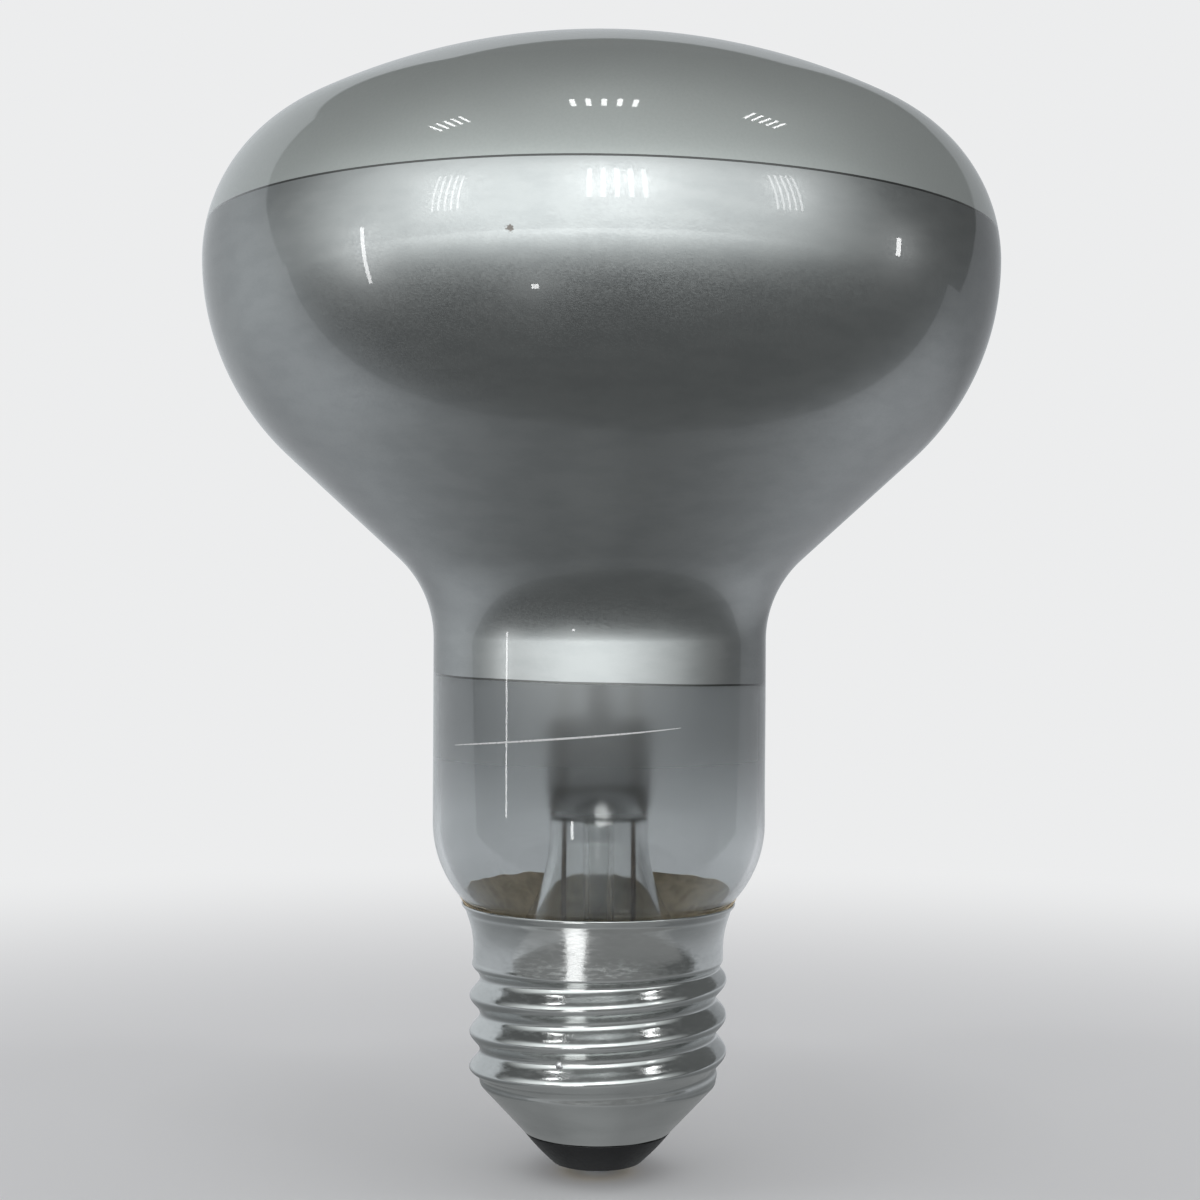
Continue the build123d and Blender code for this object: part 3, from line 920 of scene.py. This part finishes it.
    def build_weld(self) -> None:
        """Makes the weld mark on the thread, where the side lead is fixed inside the shell."""
        angle, height = np.radians(self.weld_angle), np.array(self.weld_z)
        radius = self.thread_radius(np.array(self.cone_top_radius), angle, height, np.array(0.0))
        outward = place(np.array(1.0), angle, np.array(0.0))
        points = self.weld.grid(place(radius - self.weld_sink, angle, height), outward)
        make_piece("side_weld", points, Ends.POLES, [SOLDER])


@dataclass
class Foot:
    """Black glass insulator, brass contact and its solder, in millimetres."""

    cap: ScrewCap
    insulator_z: float = 1.1
    tip_radius: float = 4.75
    edge: float = 0.5
    rise: float = 3.4
    fit_gap: float = 0.05
    bulge: float = 0.12
    ripple: float = 0.03
    ripple_waves: Waves = Waves(6, 0.8, 23)
    ripple_fade: float = 0.6
    lead_hole_radius: float = 1.2
    contact_radius: float = 4.0
    contact_thickness: float = 0.5
    contact_proud: float = 0.1
    contact_edge: float = 0.08
    eyelet_radius: float = 0.9
    solder_radius: float = 2.3
    solder_height: float = 1.0
    solder_lump: float = 0.05
    solder_waves: Waves = Waves(5, 2.0, 31)
    solder_calm: Point = (0.6, 0.3)
    columns: int = 144
    solder_columns: int = 96

    def build_insulator(self) -> None:
        """Makes the insulator: dish and seat in the shell, cone below it, and the pocket for the contact.

        The cone's side is a straight run that stands out by bulge sin(pi t) at a share t of its way.
        """
        slope = radians(self.cap.cone_angle)
        inner = self.cap.sheet + self.fit_gap
        hole, contact, foot_z = self.lead_hole_radius, self.contact_radius, self.insulator_z
        seat_r = self.cap.cone_foot_radius - inner * cos(slope)
        seat_z = self.cap.cone_foot_z + inner * sin(slope)
        dish = (seat_r + self.rise * tan(slope), seat_z + self.rise)
        pocket_z = foot_z - self.contact_proud + self.contact_thickness
        shoulder = (self.cap.cone_foot_radius, self.cap.cone_foot_z - self.fit_gap)
        lean = degrees(atan2(shoulder[0] - self.tip_radius, shoulder[1] - foot_z))
        edge = arc((self.tip_radius - self.edge, foot_z + self.edge), self.edge, -lean, -90, 10)
        side = runs((24,), shoulder, edge[0])
        side[:, 0] += self.bulge * np.sin(np.linspace(0, pi, len(side)))
        seat = runs((12, 6, 3, 4), (hole, seat_z), dish, (seat_r, seat_z), (seat_r, shoulder[1]), shoulder)
        pocket = runs((4, 3, 6, 8), edge[-1], (contact, foot_z), (contact, pocket_z), (hole, pocket_z),
                      (hole, seat_z))
        radius, angle, height = turn(chain(seat, side, edge, pocket[:-1]), self.columns)
        shown = np.clip((self.cap.cone_foot_z - height) / self.ripple_fade, 0, 1)
        radius = radius + self.ripple * shown * self.ripple_waves.over(angle, height)
        points = place(radius, angle, height)
        make_piece("insulator_glass", points, Ends.LOOP, [BLACK_GLASS], "cap_insulator")

    def build_contact(self) -> None:
        """Makes the contact plate with softened edges and an eyelet."""
        low = self.insulator_z - self.contact_proud
        high = low + self.contact_thickness
        hole, rim, soft = self.eyelet_radius, self.contact_radius, self.contact_edge
        outline = chain(
            runs((12,), (hole, high), (rim - soft, high)),
            arc((rim - soft, high - soft), soft, 90, 0, 5),
            runs((4,), (rim, high - soft), (rim, low + soft)),
            arc((rim - soft, low + soft), soft, 0, -90, 5),
            runs((12, 4), (rim - soft, low), (hole, low), (hole, high))[:-1],
        )
        points = place(*turn(outline, self.columns))
        make_piece("contact_plate", points, Ends.LOOP, [BRASS], "centre_contact")

    def build_solder(self) -> None:
        """Makes the solder: a slightly lumpy dome with a plug in the eyelet."""
        top_z, hole = self.solder_height, self.eyelet_radius
        bend = bend_radius(self.solder_height, self.solder_radius)
        side = degrees(asin(self.solder_radius / bend))
        plug_z = top_z + self.contact_thickness
        plug = runs((5, 5, 5), (0, plug_z), (hole, plug_z), (hole, top_z), (self.solder_radius, top_z))
        outline = chain(plug, arc((0, bend), bend, side - 90, -90, 24))
        radius, angle, height = turn(outline, self.solder_columns)
        calm_r, calm_z = self.solder_calm
        loose = np.clip((top_z - height) / calm_z, 0, 1) * np.clip(radius / calm_r, 0, 1)
        radius = radius * (1 - self.solder_lump * loose * (1 + self.solder_waves.over(angle, height)))
        points = place(radius, angle, height)
        make_piece("contact_solder_drop", points, Ends.POLES, [SOLDER], "contact_solder")


@dataclass
class Mount:
    """Glass stem, exhaust tube, filament coil and cement, in millimetres."""

    glass: BulbGlass
    cap: ScrewCap
    stem_radius: float = 5.0
    stem_wall: float = 0.9
    stem_flare_height: float = 12.7
    stem_straight: float = 1.6
    stem_columns: int = 128
    lip_height: float = 1.2
    press_width: float = 10.4
    press_depth: float = 3.8
    press_taper: float = 3.4
    press_height: float = 6.4
    press_edge: float = 0.6
    press_corner: float = 6.0
    exhaust_radius: float = 1.6
    exhaust_bore: float = 1.0
    exhaust_length: float = 23.5
    exhaust_columns: int = 64
    filament_below_equator: float = 20.0
    filament_ring: float = 8.0
    coil_radius: float = 0.4
    coil_wire: float = 0.05
    coil_pitch: float = 0.17
    coil_points: int = 14
    hole_x: float = 0.4
    hole_z: float = 36.1
    hole_sink: float = 0.1
    hole_lip: Dome = Dome(0.9, 0.45)
    cement_gap: float = 0.05
    glass_gap: float = 0.03
    cement_climb: float = 1.1
    cement_step: float = 0.1
    cement_skin: float = 0.12
    cement_rag: float = 0.1
    cement_waves: Waves = Waves(26, 0.0, 41)
    cement_sink: float = 1.4
    climb_slope: float = 0.9
    cement_columns: int = 180

    def __post_init__(self) -> None:
        """Works out the heights that the pieces share."""
        self.stem_tube_z = self.glass.seal_z + self.stem_flare_height
        self.press_z = self.stem_tube_z + self.stem_straight
        self.press_flat_z = self.press_z + self.press_taper
        self.press_top_z = self.press_flat_z + self.press_height

    def press_grid(self) -> np.ndarray:
        """Rows of the press: a slot whose corners are rounded, and which turns into the tube's circle below.

        At an angle a the slot is (d cos(a) + h tanh(c cos(a)), d sin(a)), with d half its depth.

        Returns:
            Rows by columns by 3, from the middle of its top to the tube.
        """
        edge_share = np.array([0.0, 0.4, 0.75, 0.93, 1.0, 1.0])
        edge_drop = np.array([0.0, 0.0, 0.03, 0.2, 0.6, 1.0])
        flat_rows, taper_rows = 10, 20
        share = np.concatenate([edge_share, np.ones(flat_rows + taper_rows)])[:, None]
        edge_z = self.press_top_z - self.press_edge * edge_drop
        flat_z = np.linspace(edge_z[-1], self.press_flat_z, flat_rows + 1)[1:]
        taper_z = np.linspace(self.press_flat_z, self.press_z, taper_rows + 1)[1:]
        height = np.concatenate([edge_z, flat_z, taper_z])[:, None]
        roundness = smooth((self.press_flat_z - height) / self.press_taper)
        angle = np.linspace(0, 2 * pi, self.stem_columns, endpoint=False)
        half, side = (self.press_width - self.press_depth) / 2, self.press_depth / 2
        slot_x = side * np.cos(angle) + half * np.tanh(self.press_corner * np.cos(angle))
        slot_y = side * np.sin(angle)
        x = share * ((1 - roundness) * slot_x + roundness * self.stem_radius * np.cos(angle))
        y = share * ((1 - roundness) * slot_y + roundness * self.stem_radius * np.sin(angle))
        return np.stack([x, y, height + 0 * x], axis=-1)

    def build_stem(self) -> None:
        """Makes the stem: the press, the flare down to the seal with the bulb, and the bore inside."""
        bore = self.stem_radius - self.stem_wall
        collar, seal = self.glass.collar_radius, self.glass.seal_z
        lip_r = collar - self.glass.wall
        bend = bend_radius(lip_r - self.stem_radius, self.stem_flare_height)
        lean = degrees(asin(self.stem_flare_height / bend))
        inner_rise = self.stem_flare_height + self.lip_height
        inner_bend = bend_radius(collar - bore, inner_rise)
        inner_lean = degrees(asin(inner_rise / inner_bend))
        outline = chain(
            arc((self.stem_radius + bend, self.stem_tube_z), bend, 180, 180 + lean, 30),
            runs((4, 4), (lip_r, seal), (collar, seal), (collar, seal - self.lip_height)),
            arc((bore + inner_bend, self.stem_tube_z), inner_bend, 180 + inner_lean, 180, 30),
            runs((4, 8), (bore, self.stem_tube_z), (bore, self.press_z), (0, self.press_z)),
        )
        points = np.concatenate([self.press_grid(), place(*turn(outline, self.stem_columns))])
        make_piece("stem_glass_flare", points, Ends.POLES, [STEM_GLASS], "glass_stem")

    def build_exhaust(self) -> None:
        """Makes the exhaust tube: open above, with its lower end melted round."""
        bore, radius = self.exhaust_bore, self.exhaust_radius
        top_z = self.press_z
        round_z = top_z - self.exhaust_length + radius
        bore_z = round_z + bore
        outline = chain(
            arc((0, bore_z), bore, -90, 0, 8),
            runs((20, 3, 24), (bore, bore_z), (bore, top_z), (radius, top_z), (radius, round_z)),
            arc((0, round_z), radius, 0, -90, 10),
        )
        points = place(*turn(outline, self.exhaust_columns))
        make_piece("exhaust_glass", points, Ends.POLES, [STEM_GLASS], "exhaust_tube")

    def build_blow_hole(self) -> None:
        """Makes the blown lip of the hole through the press, a small pale dome on its front."""
        centre = np.array([self.hole_x, self.hole_sink - self.press_depth / 2, self.hole_z])
        points = self.hole_lip.grid(centre, np.array([0.0, -1.0, 0.0]))
        make_piece("blow_hole_lip", points, Ends.POLES, [BLOWN_LIP])

    def build_filament(self) -> None:
        """Makes the filament: a fine helix whose middle line is half a ring.

        With u along the ring and w the turns, a point is (R + c cos w) (cos u, sin u), c sin w.
        """
        z = self.glass.equator_z - self.filament_below_equator
        turns = pi * self.filament_ring / self.coil_pitch
        count = int(turns * self.coil_points)
        along = np.linspace(pi, 2 * pi, count)
        wind = np.linspace(0, 2 * pi * turns, count)
        coil = self.coil_radius - self.coil_wire
        path = place(self.filament_ring + coil * np.cos(wind), along, z + coil * np.sin(wind))
        middle = np.stack([-np.sin(along), np.cos(along), 0 * along], axis=-1)
        points = tube_grid(path, np.full(count, self.coil_wire), 6, middle)
        make_piece("filament_coil", points, Ends.POLES, [TUNGSTEN], "filament")

    def build_cement(self) -> None:
        """Makes the ring of cement between glass and shell, whose ragged top climbs the glass.

        At an angle a about the axis the top sinks by s (1 - tanh(3 sin(a) + 0.5)) / 2: it is low in front.
        """
        foot_z, top_z = (corner.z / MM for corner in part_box("basing_cement"))
        outer = self.cap.flare(self.cap.sheet + self.cement_gap, top_z, foot_z, (16, 4))
        crest_z = self.cap.cap_height + self.cement_climb
        wall = self.glass.foot(-self.glass_gap, 90)
        inner = wall[(wall[:, 1] < crest_z) & (wall[:, 1] > foot_z)][::-1]
        skin = self.glass.foot(-self.glass_gap - self.cement_skin, 90)
        climb = skin[(skin[:, 1] < crest_z) & (skin[:, 1] > self.cap.cap_height + self.cement_step)]
        outline = np.concatenate([climb, outer, [(inner[0][0], foot_z)], inner])
        radius, angle, height = turn(outline, self.cement_columns)
        share = np.clip((height - top_z) / (crest_z - top_z), 0, 1)
        ragged = self.cement_rag * (self.cement_waves.over(angle, 0 * height) - 1)
        sunk = self.cement_sink * (1 - np.tanh(3 * np.sin(angle) + 0.5)) / 2
        shift = share * (ragged - sunk)
        points = place(radius + shift * self.climb_slope, angle, height + shift)
        make_piece("cement_ring", points, Ends.LOOP, [CEMENT], "basing_cement")


@dataclass(frozen=True)
class LightBar:
    """One rectangular lamp, by its direction and distance from the bulb's middle, in metres."""

    name: str
    towards: Colour
    distance: float
    width: float
    length: float
    strength: float
    upright: bool = True
    flat: bool = False
    lights: tuple[str, ...] = ()


@dataclass(frozen=True)
class Fixture:
    """One fixture of the ceiling: a row of bright tubes, by its direction from the bulb's middle."""

    name: str
    towards: Colour
    pitch: float
    length: float
    strength: float
    upright: bool
    tubes: int = 5
    distance: float = 2.0
    tube_share: float = 0.7

    def bars(self) -> list[LightBar]:
        """The fixture's tubes, side by side across their length.

        Returns:
            One lamp for each tube.
        """
        way = Vector(self.towards)
        across = way.cross(Vector((0, 0, 1) if self.upright else (0, 1, 0))).normalized()
        shifts = [(tube - self.tubes // 2) * self.pitch for tube in range(self.tubes)]
        return [LightBar(f"{self.name}_{tube}", tuple(way + across * shift), self.distance,
                         self.tube_share * self.pitch, self.length, self.strength, self.upright)
                for tube, shift in enumerate(shifts)]


FIXTURES = (
    Fixture("near_left", (-0.505, -0.267, 0.821), 0.03, 0.2, 14.0, False),
    Fixture("near_middle", (0.005, -0.264, 0.964), 0.05, 0.2, 14.0, False),
    Fixture("near_right", (0.511, -0.179, 0.841), 0.03, 0.2, 14.0, False),
    Fixture("far_left", (-0.647, -0.708, 0.282), 0.03, 0.62, 5.0, True),
    Fixture("far_middle", (0.065, -0.936, 0.345), 0.062, 0.62, 5.0, True),
    Fixture("far_right", (0.742, -0.592, 0.315), 0.03, 0.62, 5.0, True),
)
ON_BULB = {"lights": ("bulb_glass",)}
ON_SHELL = {"lights": ("screw_shell_metal",)}
ON_STEM = {"lights": ("exhaust_glass", "blow_hole_lip")}
ON_CEMENT = {"lights": ("cement_ring",)}
CARDS = (
    LightBar("strip_left", (-0.312, -0.152, 0.0), 0.347, 0.007, 0.108, 10.0, **ON_BULB),
    LightBar("strip_right", (0.345, -0.037, 0.045), 0.35, 0.01, 0.03, 12.0, **ON_BULB),
    LightBar("spark", (-0.286, -0.935, -0.208), 0.2, 0.006, 0.006, 14.0, **ON_BULB),
    LightBar("cap_card", (-0.0105, -0.034, -0.042), 0.055, 0.008, 0.022, 1.4, **ON_SHELL),
    LightBar("cap_fill", (-0.04, -0.27, -0.056), 0.279, 0.3, 0.5, 0.14, False, True, **ON_SHELL),
    LightBar("cone_card", (0.0, 0.0, -0.056), 0.056, 0.04, 0.04, 0.09, False, True, **ON_SHELL),
    LightBar("tube_strip", (-0.18, -0.0877, -0.036), 0.203, 0.006, 0.05, 25.0, **ON_STEM),
    LightBar("lip_lamp", (-0.04, -0.2, -0.02), 0.2, 0.05, 0.05, 45.0, **ON_STEM),
    LightBar("cement_lamp", (-0.05, -0.5, 0.4), 0.6, 0.3, 0.3, 5.0, **ON_CEMENT),
)


@dataclass
class Studio:
    """Pale floor, soft world, lamps and camera, in metres. A span is two places and the levels there."""

    middle: Vector
    camera_distance: float = 0.220
    camera_height: float = 0.0581
    camera_near: float = 0.01
    lens: float = 64.85
    sensor: float = 36.0
    roll: float = -0.3
    floor_radius: float = 3.0
    floor_columns: int = 96
    floor_colour: Colour = (0.8, 0.805, 0.81)
    floor_fade: Span = (0.08, 0.26, 0.0, 1.0)
    backdrop: Colour = (0.84, 0.845, 0.85)
    ambient: Colour = (0.62, 0.62, 0.63)
    dim: float = 0.14
    front: float = 1.8
    front_way: Colour = (-0.156, -0.988, 0.0)
    front_span: Span = (-0.27, 1.0, 0.0, 1.0)
    red_share: float = 0.96
    ceiling: Span = (0.5, 0.75, 1.0, 0.15)
    sides: Span = (-0.7, 0.7, 0.0, 1.0)
    wall_left: Colour = (0.7, 0.735, 0.76)
    wall_right: Colour = (0.36, 0.375, 0.39)
    wall_top: Point = (0.66, -0.25)
    wall_edge: Colour = (0.16, 0.37, 0.55)
    wall_soft: Span = (-0.01, 0.01, 0.0, 1.0)
    wall_falloff: float = 1.2
    table_left: Colour = (0.57, 0.595, 0.62)
    table_right: Colour = (0.57, 0.59, 0.615)
    table_edge: Colour = (-0.045, 0.13, 0.27)
    table_soft: Span = (-0.003, 0.003, 0.0, 1.0)
    table_share: Span = (0.01, 0.125, 0.12, 1.0)
    table_to_wall: Span = (0.12, 0.7, 0.0, 1.0)
    table_near: Span = (0.02, 0.045, 0.2, 0.14)
    table_far: Span = (0.44, 1.6, 0.14, 4.3)
    table_falloff: float = 2.1

    def room(self, inks: Inks, way: Socket, bright: Socket, behind: Socket, wall: Socket,
             falloff: float) -> Socket:
        """Colour that glossy surfaces see: bright in front, dim at the sides, and a pale wall behind.

        Args:
            inks: The nodes to add to.
            way: A direction from the bulb, or a place on the floor around it.
            bright: Brightness straight in front.
            behind: Share of the wall.
            wall: Colour of the wall.
            falloff: Power by which the brightness falls off to the sides.

        Returns:
            The colour.
        """
        level = inks.vector("NORMALIZE", inks.vector("MULTIPLY", way, (1.0, 1.0, 0.0)))
        facing = inks.ramp(inks.vector("DOT_PRODUCT", level, self.front_way), self.front_span, even=True)
        front = inks.math("MULTIPLY", inks.math("POWER", facing, falloff), bright)
        seen = inks.math("MAXIMUM", front, self.dim)
        red = inks.math("MULTIPLY", seen, self.red_share)
        grey = inks.add("ShaderNodeCombineColor", Red=red, Green=seen, Blue=seen)
        return inks.mix(behind, grey.outputs["Color"], wall)

    def build_world(self) -> None:
        """Sets a pale world, which glossy surfaces see as a room with a pale wall behind the bulb.

        In a direction (x, y, z) the wall is where y > start + turn side + lean z, and below a slanting top.
        """
        world = bpy.data.worlds.new("studio")
        world.use_nodes = True
        bpy.context.scene.world = world
        inks = Inks(world.node_tree)
        way = inks.add("ShaderNodeTexCoord").outputs["Generated"]
        x, y, z = inks.axes(way)
        bright = inks.math("MULTIPLY", inks.ramp(z, self.ceiling), self.front)
        level = inks.vector("LENGTH", inks.vector("MULTIPLY", way, (1.0, 1.0, 0.0)))
        steep, slant = self.wall_top
        top = inks.math("MULTIPLY_ADD", x, slant, inks.math("MULTIPLY", level, steep))
        below = inks.ramp(inks.math("SUBTRACT", top, z), self.wall_soft)
        side = inks.ramp(x, self.sides)
        start, turned, lean = self.wall_edge
        edge = inks.math("MULTIPLY_ADD", z, lean, inks.math("MULTIPLY_ADD", side, turned, start))
        past = inks.ramp(inks.math("SUBTRACT", y, edge), self.wall_soft)
        wall = inks.mix(side, self.wall_left, self.wall_right)
        seen = self.room(inks, way, bright, inks.math("MULTIPLY", past, below), wall, self.wall_falloff)
        rays = inks.add("ShaderNodeLightPath").outputs
        plain = inks.mix(rays["Is Diffuse Ray"], self.backdrop, self.ambient)
        colour = inks.mix(rays["Is Glossy Ray"], plain, seen)
        light = inks.add("ShaderNodeBackground", Color=colour, Strength=1.0)
        inks.add("ShaderNodeOutputWorld", Surface=light.outputs["Background"])

    def floor_material(self) -> bpy.types.Material:
        """Finish of the floor: plain and pale, with the room's table and wall for glossy surfaces.

        At a distance r from the bulb the table's far part is where y > start + r (slope + turn side).

        Returns:
            The material.
        """
        made = bpy.data.materials.new("floor")
        made.use_nodes = True
        inks = Inks(made.node_tree)
        where = inks.add("ShaderNodeTexCoord").outputs["Object"]
        reach = inks.vector("LENGTH", where)
        rays = inks.add("ShaderNodeLightPath").outputs
        plain = inks.add("ShaderNodeBsdfDiffuse", Color=self.floor_colour).outputs[0]
        far = inks.add("ShaderNodeEmission", Color=self.backdrop, Strength=1.0).outputs[0]
        straight = inks.math("MAXIMUM", rays["Is Camera Ray"], rays["Is Transmission Ray"])
        seen = inks.blend(inks.math("MULTIPLY", straight, inks.ramp(reach, self.floor_fade)), plain, far)
        rising = inks.ramp(reach, self.table_far, even=True)
        bright = inks.math("MAXIMUM", rising, inks.ramp(reach, self.table_near))
        depth = inks.axes(where)[1]
        side = inks.ramp(inks.axes(inks.vector("NORMALIZE", where))[0], self.sides)
        start, slope, turned = self.table_edge
        edge = inks.math("MULTIPLY_ADD", reach, inks.math("MULTIPLY_ADD", side, turned, slope), start)
        past = inks.ramp(inks.math("SUBTRACT", depth, edge), self.table_soft)
        behind = inks.math("MULTIPLY", past, inks.ramp(reach, self.table_share))
        table = inks.mix(side, self.table_left, self.table_right)
        wall = inks.mix(side, self.wall_left, self.wall_right)
        wall = inks.mix(inks.ramp(reach, self.table_to_wall), table, wall)
        shade = self.room(inks, where, bright, behind, wall, self.table_falloff)
        mirrored = inks.add("ShaderNodeEmission", Color=shade, Strength=1.0).outputs[0]
        inks.add("ShaderNodeOutputMaterial", Surface=inks.blend(rays["Is Glossy Ray"], seen, mirrored))
        return made

    def build_floor(self) -> None:
        """Makes the pale floor, a flat disc of rings that fades into the backdrop far from the bulb."""
        rings = np.append(0.0, np.geomspace(0.01, self.floor_radius, 24))
        points = place(*turn(np.stack([rings, 0 * rings], axis=-1), self.floor_columns))
        faces = ring_faces(len(rings), self.floor_columns, False)
        mesh = bpy.data.meshes.new("floor")
        mesh.from_pydata(points.reshape(-1, 3).tolist(), [], faces)
        mesh.materials.append(self.floor_material())
        floor = bpy.data.objects.new("floor", mesh)
        bpy.context.scene.collection.objects.link(floor)
        floor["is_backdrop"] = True

    def add_lamp(self, bar: LightBar) -> None:
        """Adds one lamp that faces the bulb's middle, or straight up where it is flat.

        Args:
            bar: The lamp's direction, size and strength, and the pieces that alone take its light.
        """
        data = bpy.data.lights.new(bar.name, "AREA")
        data.shape = "RECTANGLE"
        data.size, data.size_y = bar.width, bar.length
        data.energy = bar.strength * pi * bar.width * bar.length
        lamp = bpy.data.objects.new(bar.name, data)
        way = Vector(bar.towards).normalized()
        lamp.location = self.middle + way * bar.distance
        back = Vector((0, 0, -1)) if bar.flat else way
        side = Vector((0, 0, 1) if bar.upright else (0, 1, 0)).cross(back).normalized()
        lamp.rotation_mode = "QUATERNION"
        lamp.rotation_quaternion = Matrix((side, back.cross(side), back)).transposed().to_quaternion()
        lamp.visible_camera = lamp.visible_transmission = False
        bpy.context.scene.collection.objects.link(lamp)
        if bar.lights:
            lit = bpy.data.collections.new(f"{bar.name}_lights")
            for name in bar.lights:
                lit.objects.link(bpy.data.objects[name])
            lamp.light_linking.receiver_collection = lamp.light_linking.blocker_collection = lit

    def build_lamps(self) -> None:
        """Adds the ceiling's fixtures, the strips at the bulb's sides and the cards close to the cap."""
        for bar in [bar for fixture in FIXTURES for bar in fixture.bars()] + list(CARDS):
            self.add_lamp(bar)

    def build_camera(self) -> None:
        """Sets the camera level, in front of the bulb, as far off as the photograph's perspective asks."""
        data = bpy.data.cameras.new("camera")
        data.lens, data.sensor_width, data.clip_start = self.lens, self.sensor, self.camera_near
        camera = bpy.data.objects.new("camera", data)
        camera.location = (0.0, -self.camera_distance, self.camera_height)
        camera.rotation_euler = (pi / 2, radians(self.roll), 0.0)
        bpy.context.scene.collection.objects.link(camera)
        bpy.context.scene.camera = camera


def dress_nodes(frame: dict) -> None:
    """Gives each node that keeps its own shape its finish.

    Args:
        frame: What the frame holds.
    """
    for node, finish in NODE_FINISHES.items():
        materials = frame["nodes"][node].data.materials
        materials.clear()
        materials.append(finish.material())
        LOG.info("%s keeps its own shape", node)


def main() -> None:
    """Builds the dressed bulb and its studio around the frame."""
    logging.basicConfig(level=logging.INFO, format="%(name)s: %(message)s")
    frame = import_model()
    cad_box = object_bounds()
    bpy.context.scene.view_settings.view_transform = "Standard"
    glass, cap = BulbGlass(), ScrewCap()
    glass.build_glass()
    glass.build_scratch()
    glass.build_film()
    cap.build_shell()
    foot = Foot(cap)
    foot.build_insulator()
    foot.build_contact()
    foot.build_solder()
    cap.build_weld()
    mount = Mount(glass, cap)
    mount.build_stem()
    mount.build_exhaust()
    mount.build_blow_hole()
    mount.build_filament()
    mount.build_cement()
    dress_nodes(frame)
    studio = Studio((cad_box[0] + cad_box[1]) / 2)
    studio.build_world()
    studio.build_floor()
    studio.build_lamps()
    studio.build_camera()


if __name__ == "__main__":
    main()
